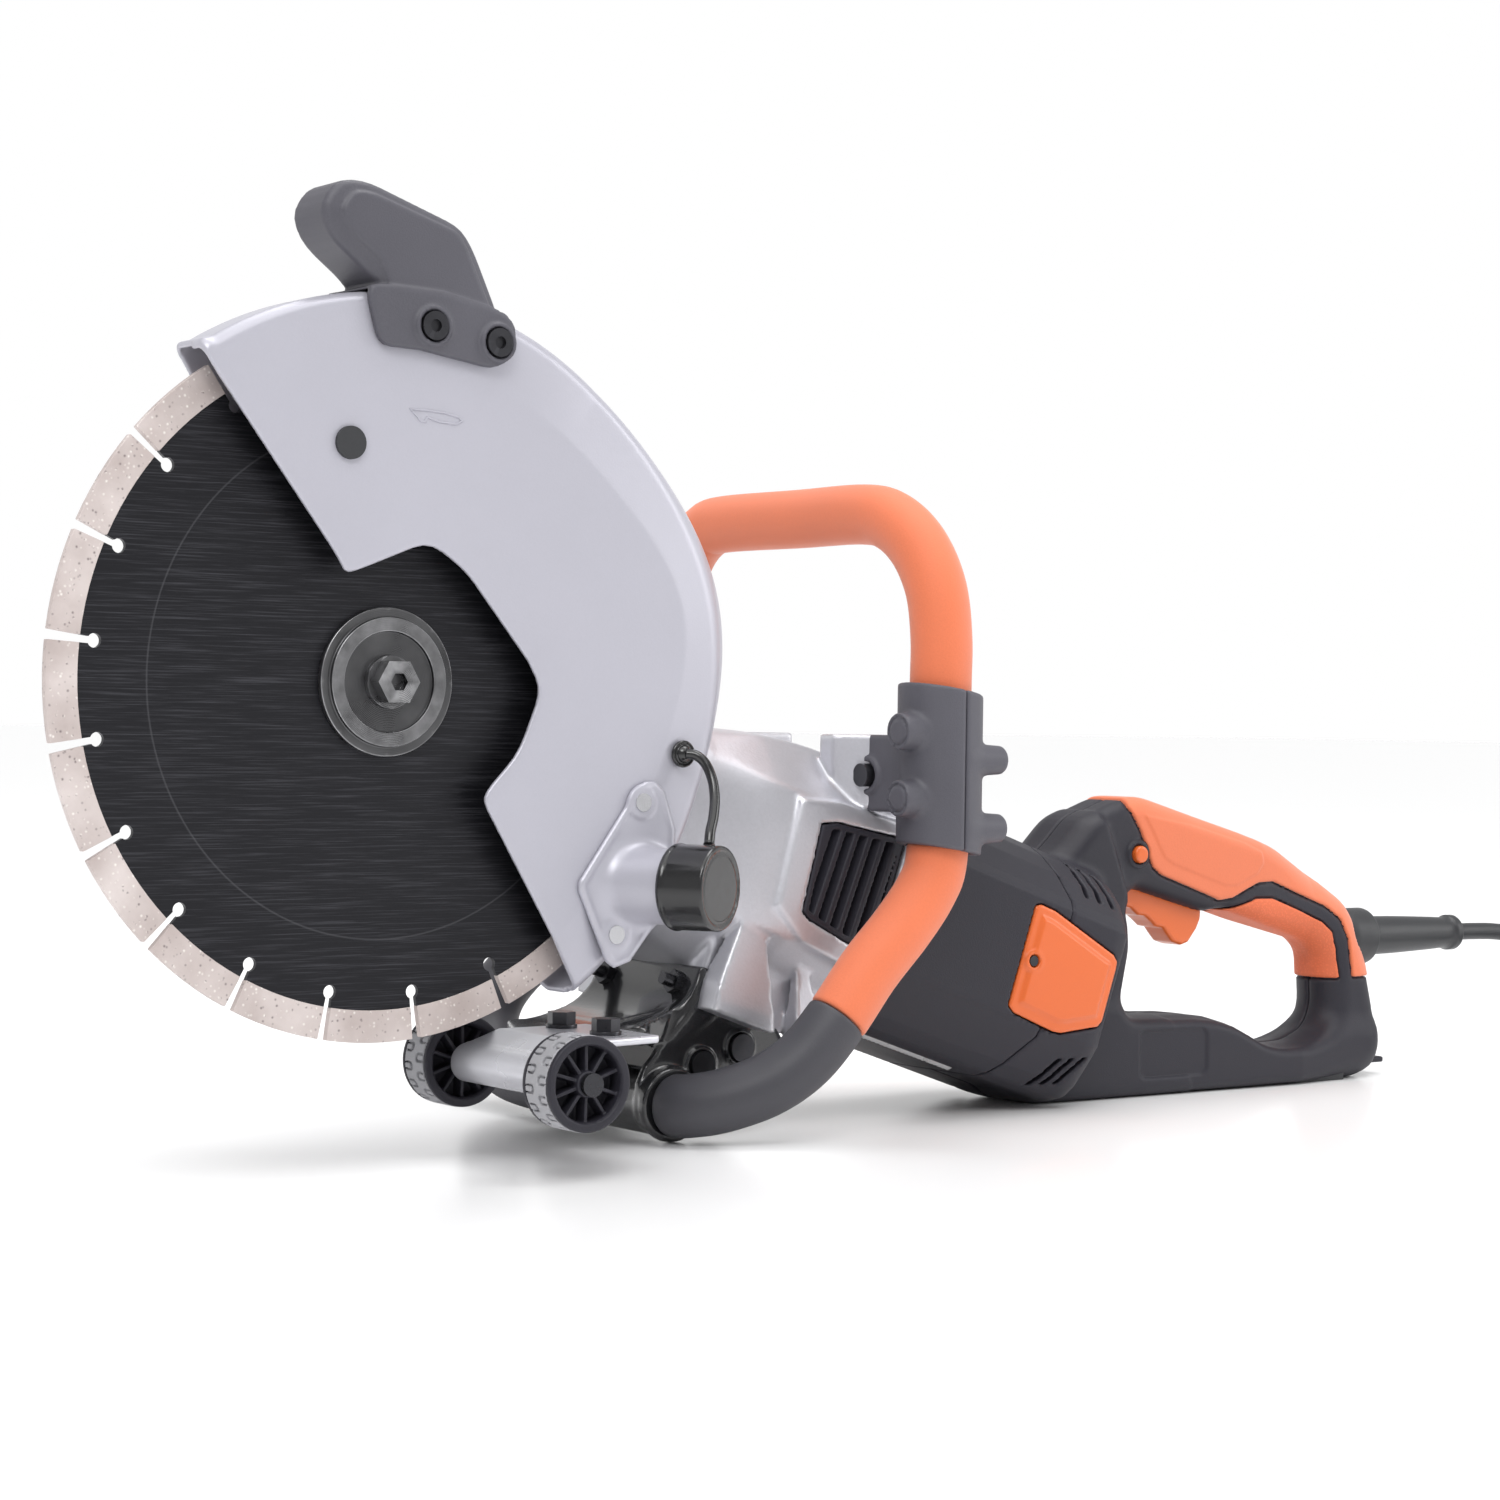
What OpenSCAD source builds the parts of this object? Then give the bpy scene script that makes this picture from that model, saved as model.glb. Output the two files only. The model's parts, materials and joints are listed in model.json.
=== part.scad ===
// Corded electric disc cutter: a 300 mm segmented blade on an overhung spindle,
// driven through a crown gear by a motor that slopes down to the D handle.
// Lengths are in millimetres. The parts are laid out about the blade arbor: +X
// points to the front, +Y to the blade side, +Z up. place() then moves the
// machine so that the frame's origin is on the floor, under its middle.

/* [Blade] */
// Outside diameter of the blade
blade_d = 300; // [298:1:302]
// Number of rim segments
segment_count = 21; // [15:1:24]
// Thickness of the rim segments
segment_t = 3.2; // [2.8:0.1:3.6]
// Radial depth of the rim segments
segment_depth = 13.5; // [10:0.5:16]
// Diameter of the blade's bore
arbor_d = 20; // [18:0.1:22]

/* [Stance] */
// Height of the blade arbor above the floor
arbor_h = 207; // [207:0.5:209]
// Slope of the motor axis, down to the rear, in degrees
motor_tilt = 19; // [18.8:0.1:19.2]
// Distance from the blade plane to the motor's middle plane
motor_offset = 82; // [81:0.5:83]

/* [Guard] */
// Radius of the guard's rim ahead of the rear bulge
guard_r = 160.5; // [160:0.5:162]
// How far the rear of the rim bulges out
guard_bulge = 13; // [8:0.5:14]
// Outside width of the guard
guard_w = 30; // [30:0.5:31]
// Wall thickness of the guard
guard_t = 2.4; // [2:0.2:3]

/* [Motor body] */
// Flat-to-flat width of the motor body
body_w = 118; // [116:1:119]
// Flat-to-flat height of the motor body
body_h = 120; // [118:1:122]
// Diameter of the circle that rounds the body's corners
body_d = 134; // [132:1:136]

/* [Handles] */
// Diameter of the loop handle's soft sleeves
sleeve_d = 29; // [27:0.5:29.5]
// Diameter of the loop handle's steel tube
loop_tube_d = 21.4; // [20:0.2:21.6]
// Half width of the D handle's grip
grip_half_w = 19.5; // [18:0.5:20]
// Half width of the D handle's lower bar
bar_half_w = 26; // [24:1:27]

/* [Guide wheels] */
// Diameter of the guide wheels
wheel_d = 41; // [39:1:42]
// Width of a guide wheel
wheel_w = 21; // [18:1:21]
// Number of wheel spokes
spoke_count = 10; // [8:1:12]

/* [Cord] */
// Diameter of the mains cord
cord_d = 9.6; // [9.2:0.1:9.8]
// Diameter across the middle of the coil's turns
coil_mid_d = 108; // [104:1:112]

/* [Hidden] */
$fn = 48;

// The middle of the machine's box, measured from the arbor
middle_x = -261;
middle_y = -85.4;

crown_teeth = 36;
pinion_teeth = 9;
running = 0.05;

blade_r = blade_d / 2;
core_r = blade_r - segment_depth;
core_t = 2.2;
slot_w = 2.6;
slot_rim_w = 4.4;
slot_hole_r = 2.9;
slot_turn = 0.64;
slot_hole_at = blade_r - 19.8;

half_w = guard_w / 2;
guard_from = 56;
guard_to = 236;
collar_r = 36;

// Stations along the motor axis, measured from the spindle
pinion_at = [-40, -24];
head_bearing = [-64, -50];
shroud_from = -238;
gear_seam = -312;
housing_seam = -404;
rear_bearing = [-456, -445];
body_end = -461;
shaft_r = 6;
spindle_r = 11;

head_r = 50;
head_y = [-42, 36];

loop_x = -292;
loop_near_y = 8;
loop_far_y = -212;
loop_top_z = 86;
near_bend = 60;
far_bend = 50;
clamp_z = [-75, 3];
clamp_bore_r = 11.9;
clamp_r = 20;
socket = [-172, -190];
socket_half = 48.4;
socket_r = 17;

axle = [-70, -166];
axle_r = 3;
wheel_near_y = 33.3;
wheel_far_y = -67.5;
carrier_y = [-45.8, 32.6];

port_at = [-117, -86];
port_turn = 27;
spigot_r = 16.5;
cap_from = 20;
cap_to = 42.5;

trigger_pivot = [-487, -94];
lock_at = [-483, -81];
boot_z = -130;

// Route of the cord from the boot to the coil, chosen by hand
cord_route = [
    [-700, -82, -130], [-720, -82, -130], [-742, -82, -130], [-764, -82, -130], [-785, -82, -131],
    [-804, -82, -134], [-822, -82, -141], [-838, -82, -152], [-852, -82, -165], [-867, -82, -179],
    [-885, -82, -191], [-906, -82, -199], [-928, -82, -202]
];
coil_at = [-928, -13.6];
coil_layers = 3;
coil_columns = 4;
coil_bottom = 1.8;
plug_at = [-846, 70];

// Route of the cord from the coil's top to the plug
plug_route = [
    [-938, 54, -181], [-926, 60, -182], [-914, 66, -188],
    [-904, 69.4, -194.4], [-895, 70, -197], [-886, 70, -197]
];

// ------------------------------------------------------------ placing and primitives

module place() translate([-middle_x, -middle_y, arbor_h]) children();

// The machine's middle plane becomes Y = 0; the axes stay level
module on_plane() place() translate([0, -motor_offset, 0]) children();

// X runs forward along the motor axis from the spindle, and Z is square to it
module on_motor() on_plane() rotate([0, -motor_tilt, 0]) children();

module rod_y(at, from, to, r) translate([at[0], to, at[1]])
    rotate([90, 0, 0]) cylinder(r = r, h = to - from);

module rod_x(from, to, r) translate([from, 0, 0]) rotate([0, 90, 0]) cylinder(r = r, h = to - from);

module ring_x(from, to, outer, inner) difference() {
    rod_x(from, to, outer);
    rod_x(from - 1, to + 1, inner);
}

module ring_y(at, from, to, outer, inner) difference() {
    rod_y(at, from, to, outer);
    rod_y(at, from - 1, to + 1, inner);
}

module slab_y(outline, from, to) translate([0, to, 0]) rotate([90, 0, 0])
    linear_extrude(to - from) polygon(outline);

module hex_z(at, h, flats) translate(at) cylinder(d = flats / cos(30), h = h, $fn = 6);

module on_both_sides() {
    children();
    mirror([0, 1, 0]) children();
}

// ------------------------------------------------------------ outlines and sweeps

function unit(v) = v / norm(v);

function mix(a, b, s) = a + (b - a) * s;

// A closed outline with each corner replaced by a short curve of reach t
function soft(p, t, n = 3) = [
    for (i = [0:len(p) - 1])
        let (b = p[i], a = p[(i + len(p) - 1) % len(p)], c = p[(i + 1) % len(p)],
             s = b + unit(a - b) * min(t, 0.45 * norm(a - b)),
             e = b + unit(c - b) * min(t, 0.45 * norm(c - b)))
        for (k = [0:n]) mix(mix(s, b, k / n), mix(b, e, k / n), k / n)
];

function arc(r, from, to, n = 8) = [
    for (k = [0:n]) r * [cos(mix(from, to, k / n)), sin(mix(from, to, k / n))]
];

// A smooth curve through the points p, with n steps between two points
function curve(p, n = 3) = [
    for (i = [0:len(p) - 2])
        let (a = p[max(i - 1, 0)], b = p[i], c = p[i + 1], d = p[min(i + 2, len(p) - 1)])
        for (k = [0:(i == len(p) - 2 ? n : n - 1)])
            let (s = k / n)
            0.5 * (2 * b + (c - a) * s + (2 * a - 5 * b + 4 * c - d) * s * s
                + (3 * b - 3 * c + d - a) * s * s * s)
];

function tangents(p) = [
    for (i = [0:len(p) - 1]) unit(p[min(i + 1, len(p) - 1)] - p[max(i - 1, 0)])
];

// A direction n carried along the tangents t without twisting
function carried(t, n, i = 0) = i >= len(t) ? [] :
    let (m = unit(n - t[i] * (n * t[i]))) concat([m], carried(t, m, i + 1));

function slice(p, from, to) = [for (i = [from:to]) p[i]];

function longer(p, by) = let (e = len(p) - 1) concat(
    [p[0] + by * unit(p[0] - p[1])], slice(p, 1, e - 1), [p[e] + by * unit(p[e] - p[e - 1])]
);

// A solid from rings of n points each; the first and the last ring are closed by strips
module skin(points, n) {
    rings = len(points) / n;
    last = (rings - 1) * n;
    polyhedron(points, concat(
        [for (i = [0:rings - 2]) for (k = [0:n - 1])
            [i * n + k, i * n + (k + 1) % n, (i + 1) * n + (k + 1) % n, (i + 1) * n + k]],
        [for (k = [0:n / 2 - 2]) [n - 1 - k, n - 2 - k, k + 1, k]],
        [for (k = [0:n / 2 - 2]) [last + k, last + k + 1, last + n - 2 - k, last + n - 1 - k]]
    ));
}

// A round solid of radius r along the points p, square to the directions t
module sweep(p, r, sides = 12, start = [0, 0, 1], t = []) {
    along = len(t) > 0 ? t : tangents(p);
    n = carried(along, start);
    skin([
        for (i = [0:len(p) - 1]) for (k = [0:sides - 1])
            let (a = -360 * k / sides)
            p[i] + r * (cos(a) * n[i] + sin(a) * cross(along[i], n[i]))
    ], sides);
}

module sleeve(p, t, outer, inner) difference() {
    sweep(p, outer, 16, [1, 0, 0], t);
    sweep(longer(p, 1), inner, 16, [1, 0, 0], t);
}

// A solid through sections that stand square to X. Each section is
// [x, half width, top, bottom, squareness], where squareness 1 is an ellipse.
module lofted(sections, n = 28) skin([
    for (s = sections) for (k = [0:n - 1])
        let (a = -360 * (k + 0.5) / n, c = cos(a), d = sin(a), e = 1 / s[4])
        [s[0], s[1] * sign(c) * pow(abs(c), e),
            mix(s[3], s[2], 0.5) + (s[2] - s[3]) / 2 * sign(d) * pow(abs(d), e)]
], n);

// ------------------------------------------------------------ gearbox

gearbox_sections = [
    [gear_seam, 59, 60, -60, 2.2], [-262, 59, 62, -61, 2.1], [-228, 55, 57, -60, 2],
    [-200, 47, 50, -56, 1.8], [-150, 39, 45, -48, 1.7], [-70, 36, 44, -45, 1.6], [0, 36, 44, -44, 1.6]
];

foot_block = [[-226, -48], [-226, -74], [-274, -77], [-304, -62], [-304, -48]];

gearbox_inside = [
    [-238, 48, 49, -50, 2], [-200, 41, 44, -47, 1.8], [-150, 33, 39, -41, 1.7], [-74, 30, 38, -38, 1.6]
];

grille_outline = soft([[-253, 23], [-304, 31], [-304, -26], [-285, -26], [-257, -21]], 4);

cover_outline = soft([[-392, 27], [-406, 28], [-454, 18], [-454, -20], [-427, -29], [-392, -26]], 5);

module gearbox_housing() color("silver") {
    on_motor() difference() {
        union() {
            rod_y([0, 0], head_y[0], head_y[1], head_r);
            lofted(gearbox_sections);
            slab_y(foot_block, -40, 40);
            for (y = [-40, 38]) slab_y([[-206, -38], [-226, -38], [-226, -59]], y, y + 2);
        }
        rod_y([0, 0], head_y[0] + 10, head_y[1] - 8.9, 41);
        rod_y([0, 0], head_y[1] - 9, head_y[1] + 1, 40);
        rod_y([0, 0], head_y[0] + 3, head_y[0] + 11, 22);
        rod_x(head_bearing[0], head_bearing[1] + 20, 16);
        rod_x(shroud_from - 2, head_bearing[0] + 1, 13);
        lofted(gearbox_inside);
        rod_x(gear_seam - 1, shroud_from, 52);
        on_both_sides() slab_y(grille_outline, 48, 62);
        rotate([0, motor_tilt, 0]) on_both_sides() translate([-283, 47.7, -55.3]) cube([9.4, 12, 34.6]);
        for (at = stud_at) translate([0, at[0], at[1]]) rod_x(-237, -200, 3);
    }
    on_plane() on_both_sides() translate([-300, 46, -54]) cube([17, 23, 32]);
}

module bearing_cover() color("gainsboro") on_plane() difference() {
    union() {
        rod_y([0, 0], head_y[1] - 9, head_y[1], 40);
        rod_y([0, 0], head_y[1], head_y[1] + 6, 48);
        rod_y([0, 0], head_y[1], 69.7, collar_r);
    }
    rod_y([0, 0], head_y[1] - 10, 70, 22);
}

module bearings() color("lightsteelblue") {
    on_plane() {
        ring_y([0, 0], 44, 58, 22, spindle_r + running);
        ring_y([0, 0], head_y[0] + 3, head_y[0] + 10, 22, spindle_r + running);
    }
    on_motor() {
        ring_x(head_bearing[0], head_bearing[1], 16, shaft_r + running);
        ring_x(rear_bearing[0], rear_bearing[1], 13, shaft_r + running);
    }
}

module air_grilles() color("dimgray") on_motor() on_both_sides() difference() {
    slab_y(grille_outline, 52, 58.4);
    for (i = [0:5]) slab_y([
        [-259 - 8 * i, 20 + i], [-263.4 - 8 * i, 20.6 + i], [-263.4 - 8 * i, -20], [-259 - 8 * i, -19]
    ], 51, 60);
}

// ------------------------------------------------------------ motor

module body_slice(from, to) translate([from, 0, 0]) rotate([90, 0, 90]) linear_extrude(to - from)
    intersection() {
        circle(d = body_d);
        square([body_w, body_h], center = true);
    }

module vent_slots(x, z, lean) for (i = [0:2])
    translate([-9 * i, 0, 0])
        slab_y([[x, z], [x - 4, z], [x - 4 - lean, z - 15], [x - lean, z - 15]], -70, 70);

module motor_housing() color("dimgray") on_motor() difference() {
    body_slice(housing_seam, gear_seam);
    rod_x(housing_seam - 1, gear_seam + 1, 54);
    on_both_sides() slab_y(cover_outline, 57, 62);
    on_both_sides() rod_y([-400, 0], 50, 60, 2.6);
}

module stator_core() color("slategray") on_motor() ring_x(-388, -320, 53.9, 31);

module stator_windings() color("peru") on_motor() {
    ring_x(-319.8, -314, 50, 33);
    ring_x(-396, -388.2, 50, 33);
}

module brush_holders() color("goldenrod") on_motor() on_both_sides() difference() {
    translate([-431, 17.5, -8]) cube([16, 33, 16]);
    translate([-427.1, 16, -4.1]) cube([8.2, 36, 8.2]);
}

module carbon_brushes() color("black") on_motor() on_both_sides()
    translate([-427, 16.4, -4]) cube([8, 24, 8]);

module brush_covers() color("darkorange") on_motor() on_both_sides() difference() {
    slab_y(cover_outline, 57, 60.6);
    rod_y([-400, 0], 56, 62, 2.6);
}

module armature_shaft() color("silver") on_motor() union() {
    rod_x(-455.5, pinion_at[1], shaft_r);
    rod_x(-68, -65, 9);
}

module armature_core() color("slategray") on_motor() {
    ring_x(-388, -320, 30.2, shaft_r);
    ring_x(-402, -388.1, 24, shaft_r);
}

module commutator() color("peru") on_motor() ring_x(-434, -411, 16, shaft_r);

module cooling_fan() color("gray") on_motor() {
    ring_x(-309, -306, 46, shaft_r);
    ring_x(-306, -284, 14, shaft_r);
    for (a = [0:30:330]) rotate([a, 0, 0]) translate([-307, -1, 12]) cube([20, 2, 32]);
}

module pinion() color("gray") on_motor() {
    ring_x(pinion_at[0], pinion_at[1], 6.2, shaft_r);
    for (i = [0:pinion_teeth - 1]) rotate([-90 + 360 * i / pinion_teeth, 0, 0])
        translate([pinion_at[0] + 5, -0.75, 6.1]) cube([6, 1.5, 2.9]);
}

// ------------------------------------------------------------ spindle and blade

module spindle_shaft() color("silver") on_plane() difference() {
    union() {
        rod_y([0, 0], head_y[0] + 3.5, 72, spindle_r);
        rod_y([0, 0], 72, motor_offset - 1.2, 9.9);
    }
    rod_y([0, 0], 45, motor_offset, 5);
}

module crown_gear() color("gray") on_plane() rotate([0, -motor_tilt, 0]) {
    ring_y([0, 0], 10.1, 20, 37, spindle_r);
    ring_y([0, 0], 20, 34, 18, spindle_r);
    for (i = [0:crown_teeth - 1]) rotate([0, 360 * (i + 0.5) / crown_teeth, 0])
        translate([-35, 6.9, -0.75]) cube([6, 3.3, 1.5]);
}

module flange_inner() color("silver") place() {
    ring_y([0, 0], -10, -core_t / 2, 30, spindle_r - 1.1);
    ring_y([0, 0], -core_t / 2, core_t / 2, arbor_d / 2 - 0.05, 5);
}

module flange_outer() color("lightgray") place() difference() {
    union() {
        rod_y([0, 0], core_t / 2, core_t / 2 + 3, 31);
        rod_y([0, 0], core_t / 2 + 3, core_t / 2 + 5, 27);
    }
    rod_y([0, 0], core_t / 2 + 3.4, 8, 21);
    rod_y([0, 0], 0, 8, 5);
}

module arbor_bolt() color("silver") place() difference() {
    union() {
        rod_y([0, 0], core_t / 2 + 3.4, core_t / 2 + 6, 11);
        rotate([90, 0, 0]) translate([0, 0, -core_t / 2 - 13]) cylinder(d = 17 / cos(30), h = 7, $fn = 6);
        rod_y([0, 0], -30, core_t / 2 + 6, 5);
    }
    rotate([90, 0, 0]) translate([0, 0, -core_t / 2 - 14]) cylinder(d = 8, h = 5, $fn = 6);
}

slot_outline = [
    [slot_hole_at, -slot_w / 2], [blade_r + 3, -slot_rim_w / 2],
    [blade_r + 3, slot_rim_w / 2], [slot_hole_at, slot_w / 2]
];

module slot_cutters() for (i = [0:segment_count - 1]) rotate([0, 360 * (i + slot_turn) / segment_count, 0]) {
    slab_y(slot_outline, -3, 3);
    rod_y([slot_hole_at, 0], -3, 3, slot_hole_r);
}

module blade_core() color("darkslategray") place() difference() {
    rod_y([0, 0], -core_t / 2, core_t / 2, core_r);
    rod_y([0, 0], -2, 2, arbor_d / 2);
    slot_cutters();
}

module blade_segments() color("rosybrown") place() difference() {
    ring_y([0, 0], -segment_t / 2, segment_t / 2, blade_r, core_r);
    slot_cutters();
}

// ------------------------------------------------------------ guard

function bulge_at(a) = exp(-pow((a - 167) / 20, 2));

function rim_half(rim, fillet, w, inner) = concat(
    [[inner, w]],
    [for (k = [0:5]) [rim - fillet + fillet * cos(90 - 18 * k), w - fillet + fillet * sin(90 - 18 * k)]]
);

function flipped(p) = [for (i = [len(p) - 1:-1:0]) [p[i][0], -p[i][1]]];

function reversed(p) = [for (i = [len(p) - 1:-1:0]) p[i]];

// The U-shaped section of the rim at angle a, as [radius, y] pairs
function rim_section(a) =
    let (rim = guard_r + guard_bulge * bulge_at(a), f = 5.5 + 8.5 * bulge_at(a), inner = 140,
         outside = rim_half(rim, f, half_w, inner),
         inside = rim_half(rim - guard_t, f - guard_t, half_w - guard_t, inner))
    concat(outside, flipped(outside), reversed(flipped(inside)), reversed(inside));

near_cut = soft([
    [30, 50], [22, 43], [6, 54], [-13, 57.5], [-28, 50], [-64, 8], [-67, -8], [-58, -29], [-39, -48]
], 6);

near_plate = concat([[84, 124.5]], near_cut, [[-83, -120]], arc(148, 234, 56, 30));

far_plate = concat([[82, 122], [44, 34], [52, -6], [30, -42], [2, -70], [-40, -90]],
    arc(148, guard_to - 2, guard_from, 30));

module guard_rim() {
    n = len(rim_section(90));
    skin([
        for (a = [guard_from:4:guard_to]) for (p = rim_section(a)) [p[0] * cos(a), p[1], p[0] * sin(a)]
    ], n);
}

module guard_shell() color("lightgray") place() difference() {
    union() {
        guard_rim();
        slab_y(near_plate, half_w - guard_t, half_w);
        slab_y(far_plate, -half_w, -half_w + guard_t);
        rod_y([0, 0], -half_w - 8, -half_w + guard_t, 46);
    }
    rod_y([0, 0], -half_w - 9, half_w - guard_t - 1, collar_r + running);
    on_port_axis() rod_y([0, 0], -12, 9, 13.2);
    for (at = grip_screw_at) rod_y(at, -20, 20, 3);
    for (at = rivet_at) rod_y(at, 5, 20, 2);
    rod_y(plug_hole_at, 5, 20, 5);
    rod_y(tether_at, 5, 20, 3);
}

module guard_retainer() color("silver") place() ring_y([0, 0], -12.3, -10.8, 43, 23);

grip_outline = soft([[8, 150], [10, 166], [33, 182], [35, 197], [24, 205], [-26, 190], [-43, 150]], 9);

saddle_outline = soft([[20, 159], [13, 141], [4, 137], [-42, 132], [-53, 138], [-52, 153], [-16, 159.5]], 4);

grip_screw_at = [[-11, 147], [-42, 142.5]];

rivet_at = [[-119, -50], [-106, -107]];

plug_hole_at = [25, 97];

tether_at = [-141, -29];

module guard_grip() color("dimgray") place() difference() {
    union() {
        difference() {
            slab_y(grip_outline, -16, 16);
            rod_y([0, 0], -17, 17, 163);
        }
        on_both_sides() slab_y(saddle_outline, half_w + 0.2, half_w + 4);
        intersection() {
            ring_y([0, 0], -half_w - 4, half_w + 4, 165.5, 161);
            slab_y([[0, 0], [22, 172], [-58, 172]], -20, 20);
        }
        on_both_sides() for (at = grip_screw_at) rod_y(at, half_w + 3, half_w + 6, 8.4);
    }
    for (at = grip_screw_at) rod_y(at, -25, 25, 3);
    on_both_sides() for (at = grip_screw_at) rod_y(at, half_w + 3.5, half_w + 7, 6.4);
}

module grip_screws() color("black") place() on_both_sides() for (at = grip_screw_at) difference() {
    union() {
        rod_y(at, half_w + 3.5, half_w + 6.5, 6);
        rod_y(at, half_w - 6, half_w + 3.5, 3);
    }
    rod_y(at, half_w + 5, half_w + 8, 2.6);
}

module guard_plug() color("dimgray") place() union() {
    rod_y(plug_hole_at, half_w - 6, half_w, 5);
    rod_y(plug_hole_at, half_w, half_w + 1.6, 6.8);
}

port_plate = soft([
    [-121, -41], [-111, -53], [-87, -85], [-103, -121], [-116, -118], [-136, -92], [-136, -62], [-130, -44]
], 6);

module on_port_axis() translate([port_at[0], half_w, port_at[1]]) rotate([0, 0, port_turn]) children();

module dust_port() color("lightgray") place() difference() {
    union() {
        slab_y(port_plate, half_w + 0.2, half_w + 2.2);
        on_port_axis() rod_y([0, 0], -10, 38, spigot_r);
    }
    on_port_axis() rod_y([0, 0], -20, 40, 14.3);
    translate([-170, -20, -130]) cube([110, half_w + 20.2, 90]);
    for (at = rivet_at) rod_y(at, 5, 20, 2);
}

module port_rivets() color("silver") place() for (at = rivet_at) {
    rod_y(at, half_w - 4, half_w + 2.2, 2);
    rod_y(at, half_w + 2.2, half_w + 3.6, 4);
}

module dust_cap() color("black") place() on_port_axis() difference() {
    rod_y([0, 0], cap_from, cap_to, 18.5);
    rod_y([0, 0], cap_from - 1, cap_to - 3, spigot_r + running);
}

module cap_tether() color("black") place() union() {
    rod_y(tether_at, half_w - 5, half_w, 3);
    rod_y(tether_at, half_w, half_w + 2, 6);
    sweep(curve([
        [-141, 17, -29], [-142, 22, -28], [-146, 26, -34],
        [-147, 31, -44], [-142, 37, -54], [-133, 41, -64.8]
    ]), 2.2, 8, [1, 0, 0]);
}

// ------------------------------------------------------------ rear handle

handle_outline = soft([
    [-404, -88], [-425, -77], [-436, -68], [-446, -61], [-478, -52], [-489, -52], [-530, -63.5],
    [-560, -71], [-589, -79.5], [-628, -99], [-646, -109.5], [-653, -119], [-664, -144], [-671, -170],
    [-672.5, -188], [-668, -200], [-655, -205.5], [-420, -205.5], [-395, -200], [-390, -140]
], 5);

hand_hole = soft([
    [-475, -106], [-485, -98], [-536, -112.5], [-552, -111], [-578, -118.5], [-618, -129.5],
    [-628, -138], [-630, -166], [-624, -180], [-608, -187], [-586, -187.5], [-572, -184],
    [-550, -173], [-524, -168.5], [-478, -167],
    [-473, -160], [-480, -130]
], 6);

bar_outline = soft([
    [-400, -150], [-470, -160], [-478, -167], [-524, -168.5], [-550, -173], [-572, -184], [-586, -187.5],
    [-608, -187], [-624, -180], [-632, -162], [-668.5, -160], [-672.5, -188], [-668, -200], [-655, -205.5],
    [-420, -205.5], [-395, -200]
], 5);

upper_orange = soft([
    [-463, -50], [-474, -57], [-483, -65], [-490, -77], [-494, -88], [-503, -93.5], [-526, -100],
    [-547, -107.5], [-558, -105], [-570, -98.5], [-581, -97], [-596, -101.5], [-623, -110],
    [-636, -120], [-642, -131], [-646, -151], [-690, -151], [-690, -105], [-650, -95], [-600, -70],
    [-530, -55], [-489, -46]
], 3);

lower_orange = soft([
    [-541, -113.5], [-558, -112], [-578, -105], [-598, -109], [-629, -121.5], [-635, -131],
    [-641, -152], [-600, -152], [-600, -133], [-560, -124]
], 3);

module handle_core() {
    difference() {
        slab_y(handle_outline, -grip_half_w, grip_half_w);
        slab_y(hand_hole, -30, 30);
    }
    slab_y(bar_outline, -bar_half_w, bar_half_w);
}

bar_hollow = [
    [-468, -172], [-522, -174], [-548, -179], [-574, -190], [-606, -194], [-632, -190], [-664, -190],
    [-665, -195], [-658, -198], [-468, -198]
];

grip_hollow = [[-500, -88], [-540, -98], [-575, -90], [-530, -72], [-500, -66]];

module overmould_space() {
    difference() {
        slab_y(upper_orange, -30, 30);
        translate([4, 0, -3]) slab_y(upper_orange, -14, 14);
    }
    on_both_sides() slab_y(lower_orange, 14, 30);
}

module boot_space() translate([0, 0, boot_z]) {
    rod_x(-700, -648, 16);
    rod_x(-649, -639, 11);
}

trigger_pocket = [[-473, -112], [-473, -84], [-500, -84], [-541, -99], [-541, -118]];

module handle_body() difference() {
    union() {
        on_plane() handle_core();
        on_motor() body_slice(body_end, housing_seam);
    }
    on_plane() {
        overmould_space();
        slab_y(trigger_pocket, -9.5, 9.5);
        rod_y(trigger_pivot, -17, 17, 2.5);
        rod_y(lock_at, 1.5, 30, 4.5 + running);
        rod_y(lock_at, 1.5, 12, 6.2);
        slab_y(bar_hollow, -bar_half_w + 3, bar_half_w - 3);
        slab_y(grip_hollow, -11, 11);
        translate([-591, -10, -108.5]) cube([46, 20, 24.5]);
        boot_space();
        translate([-640, -19, -207]) cube([210, 38, 4.4]);
    }
    on_motor() {
        rod_x(rear_bearing[1] - 0.01, housing_seam + 1, 52);
        rod_x(rear_bearing[0], rear_bearing[1], 13);
        on_both_sides() slab_y(cover_outline, 57, 62);
        vent_slots(-424, 56, 4);
    }
}

module half_space(side) place()
    translate([-760, side > 0 ? -motor_offset : -motor_offset - 100, -230]) cube([420, 100, 230]);

module handle_half_left() color("dimgray") intersection() {
    handle_body();
    half_space(1);
}

module handle_half_right() color("dimgray") intersection() {
    handle_body();
    half_space(-1);
}

module grip_overmould() color("coral") on_plane() intersection() {
    difference() {
        slab_y(handle_outline, -grip_half_w - 0.8, grip_half_w + 0.8);
        slab_y(hand_hole, -30, 30);
        rod_y(lock_at, -30, 30, 7);
        boot_space();
    }
    overmould_space();
}

module switch_unit() color("black") on_plane() union() {
    translate([-590, -9.5, -108]) cube([44, 19, 23.5]);
}

module trigger_pin() color("silver") on_plane() rod_y(trigger_pivot, -16.5, 16.5, 2.5);

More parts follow.
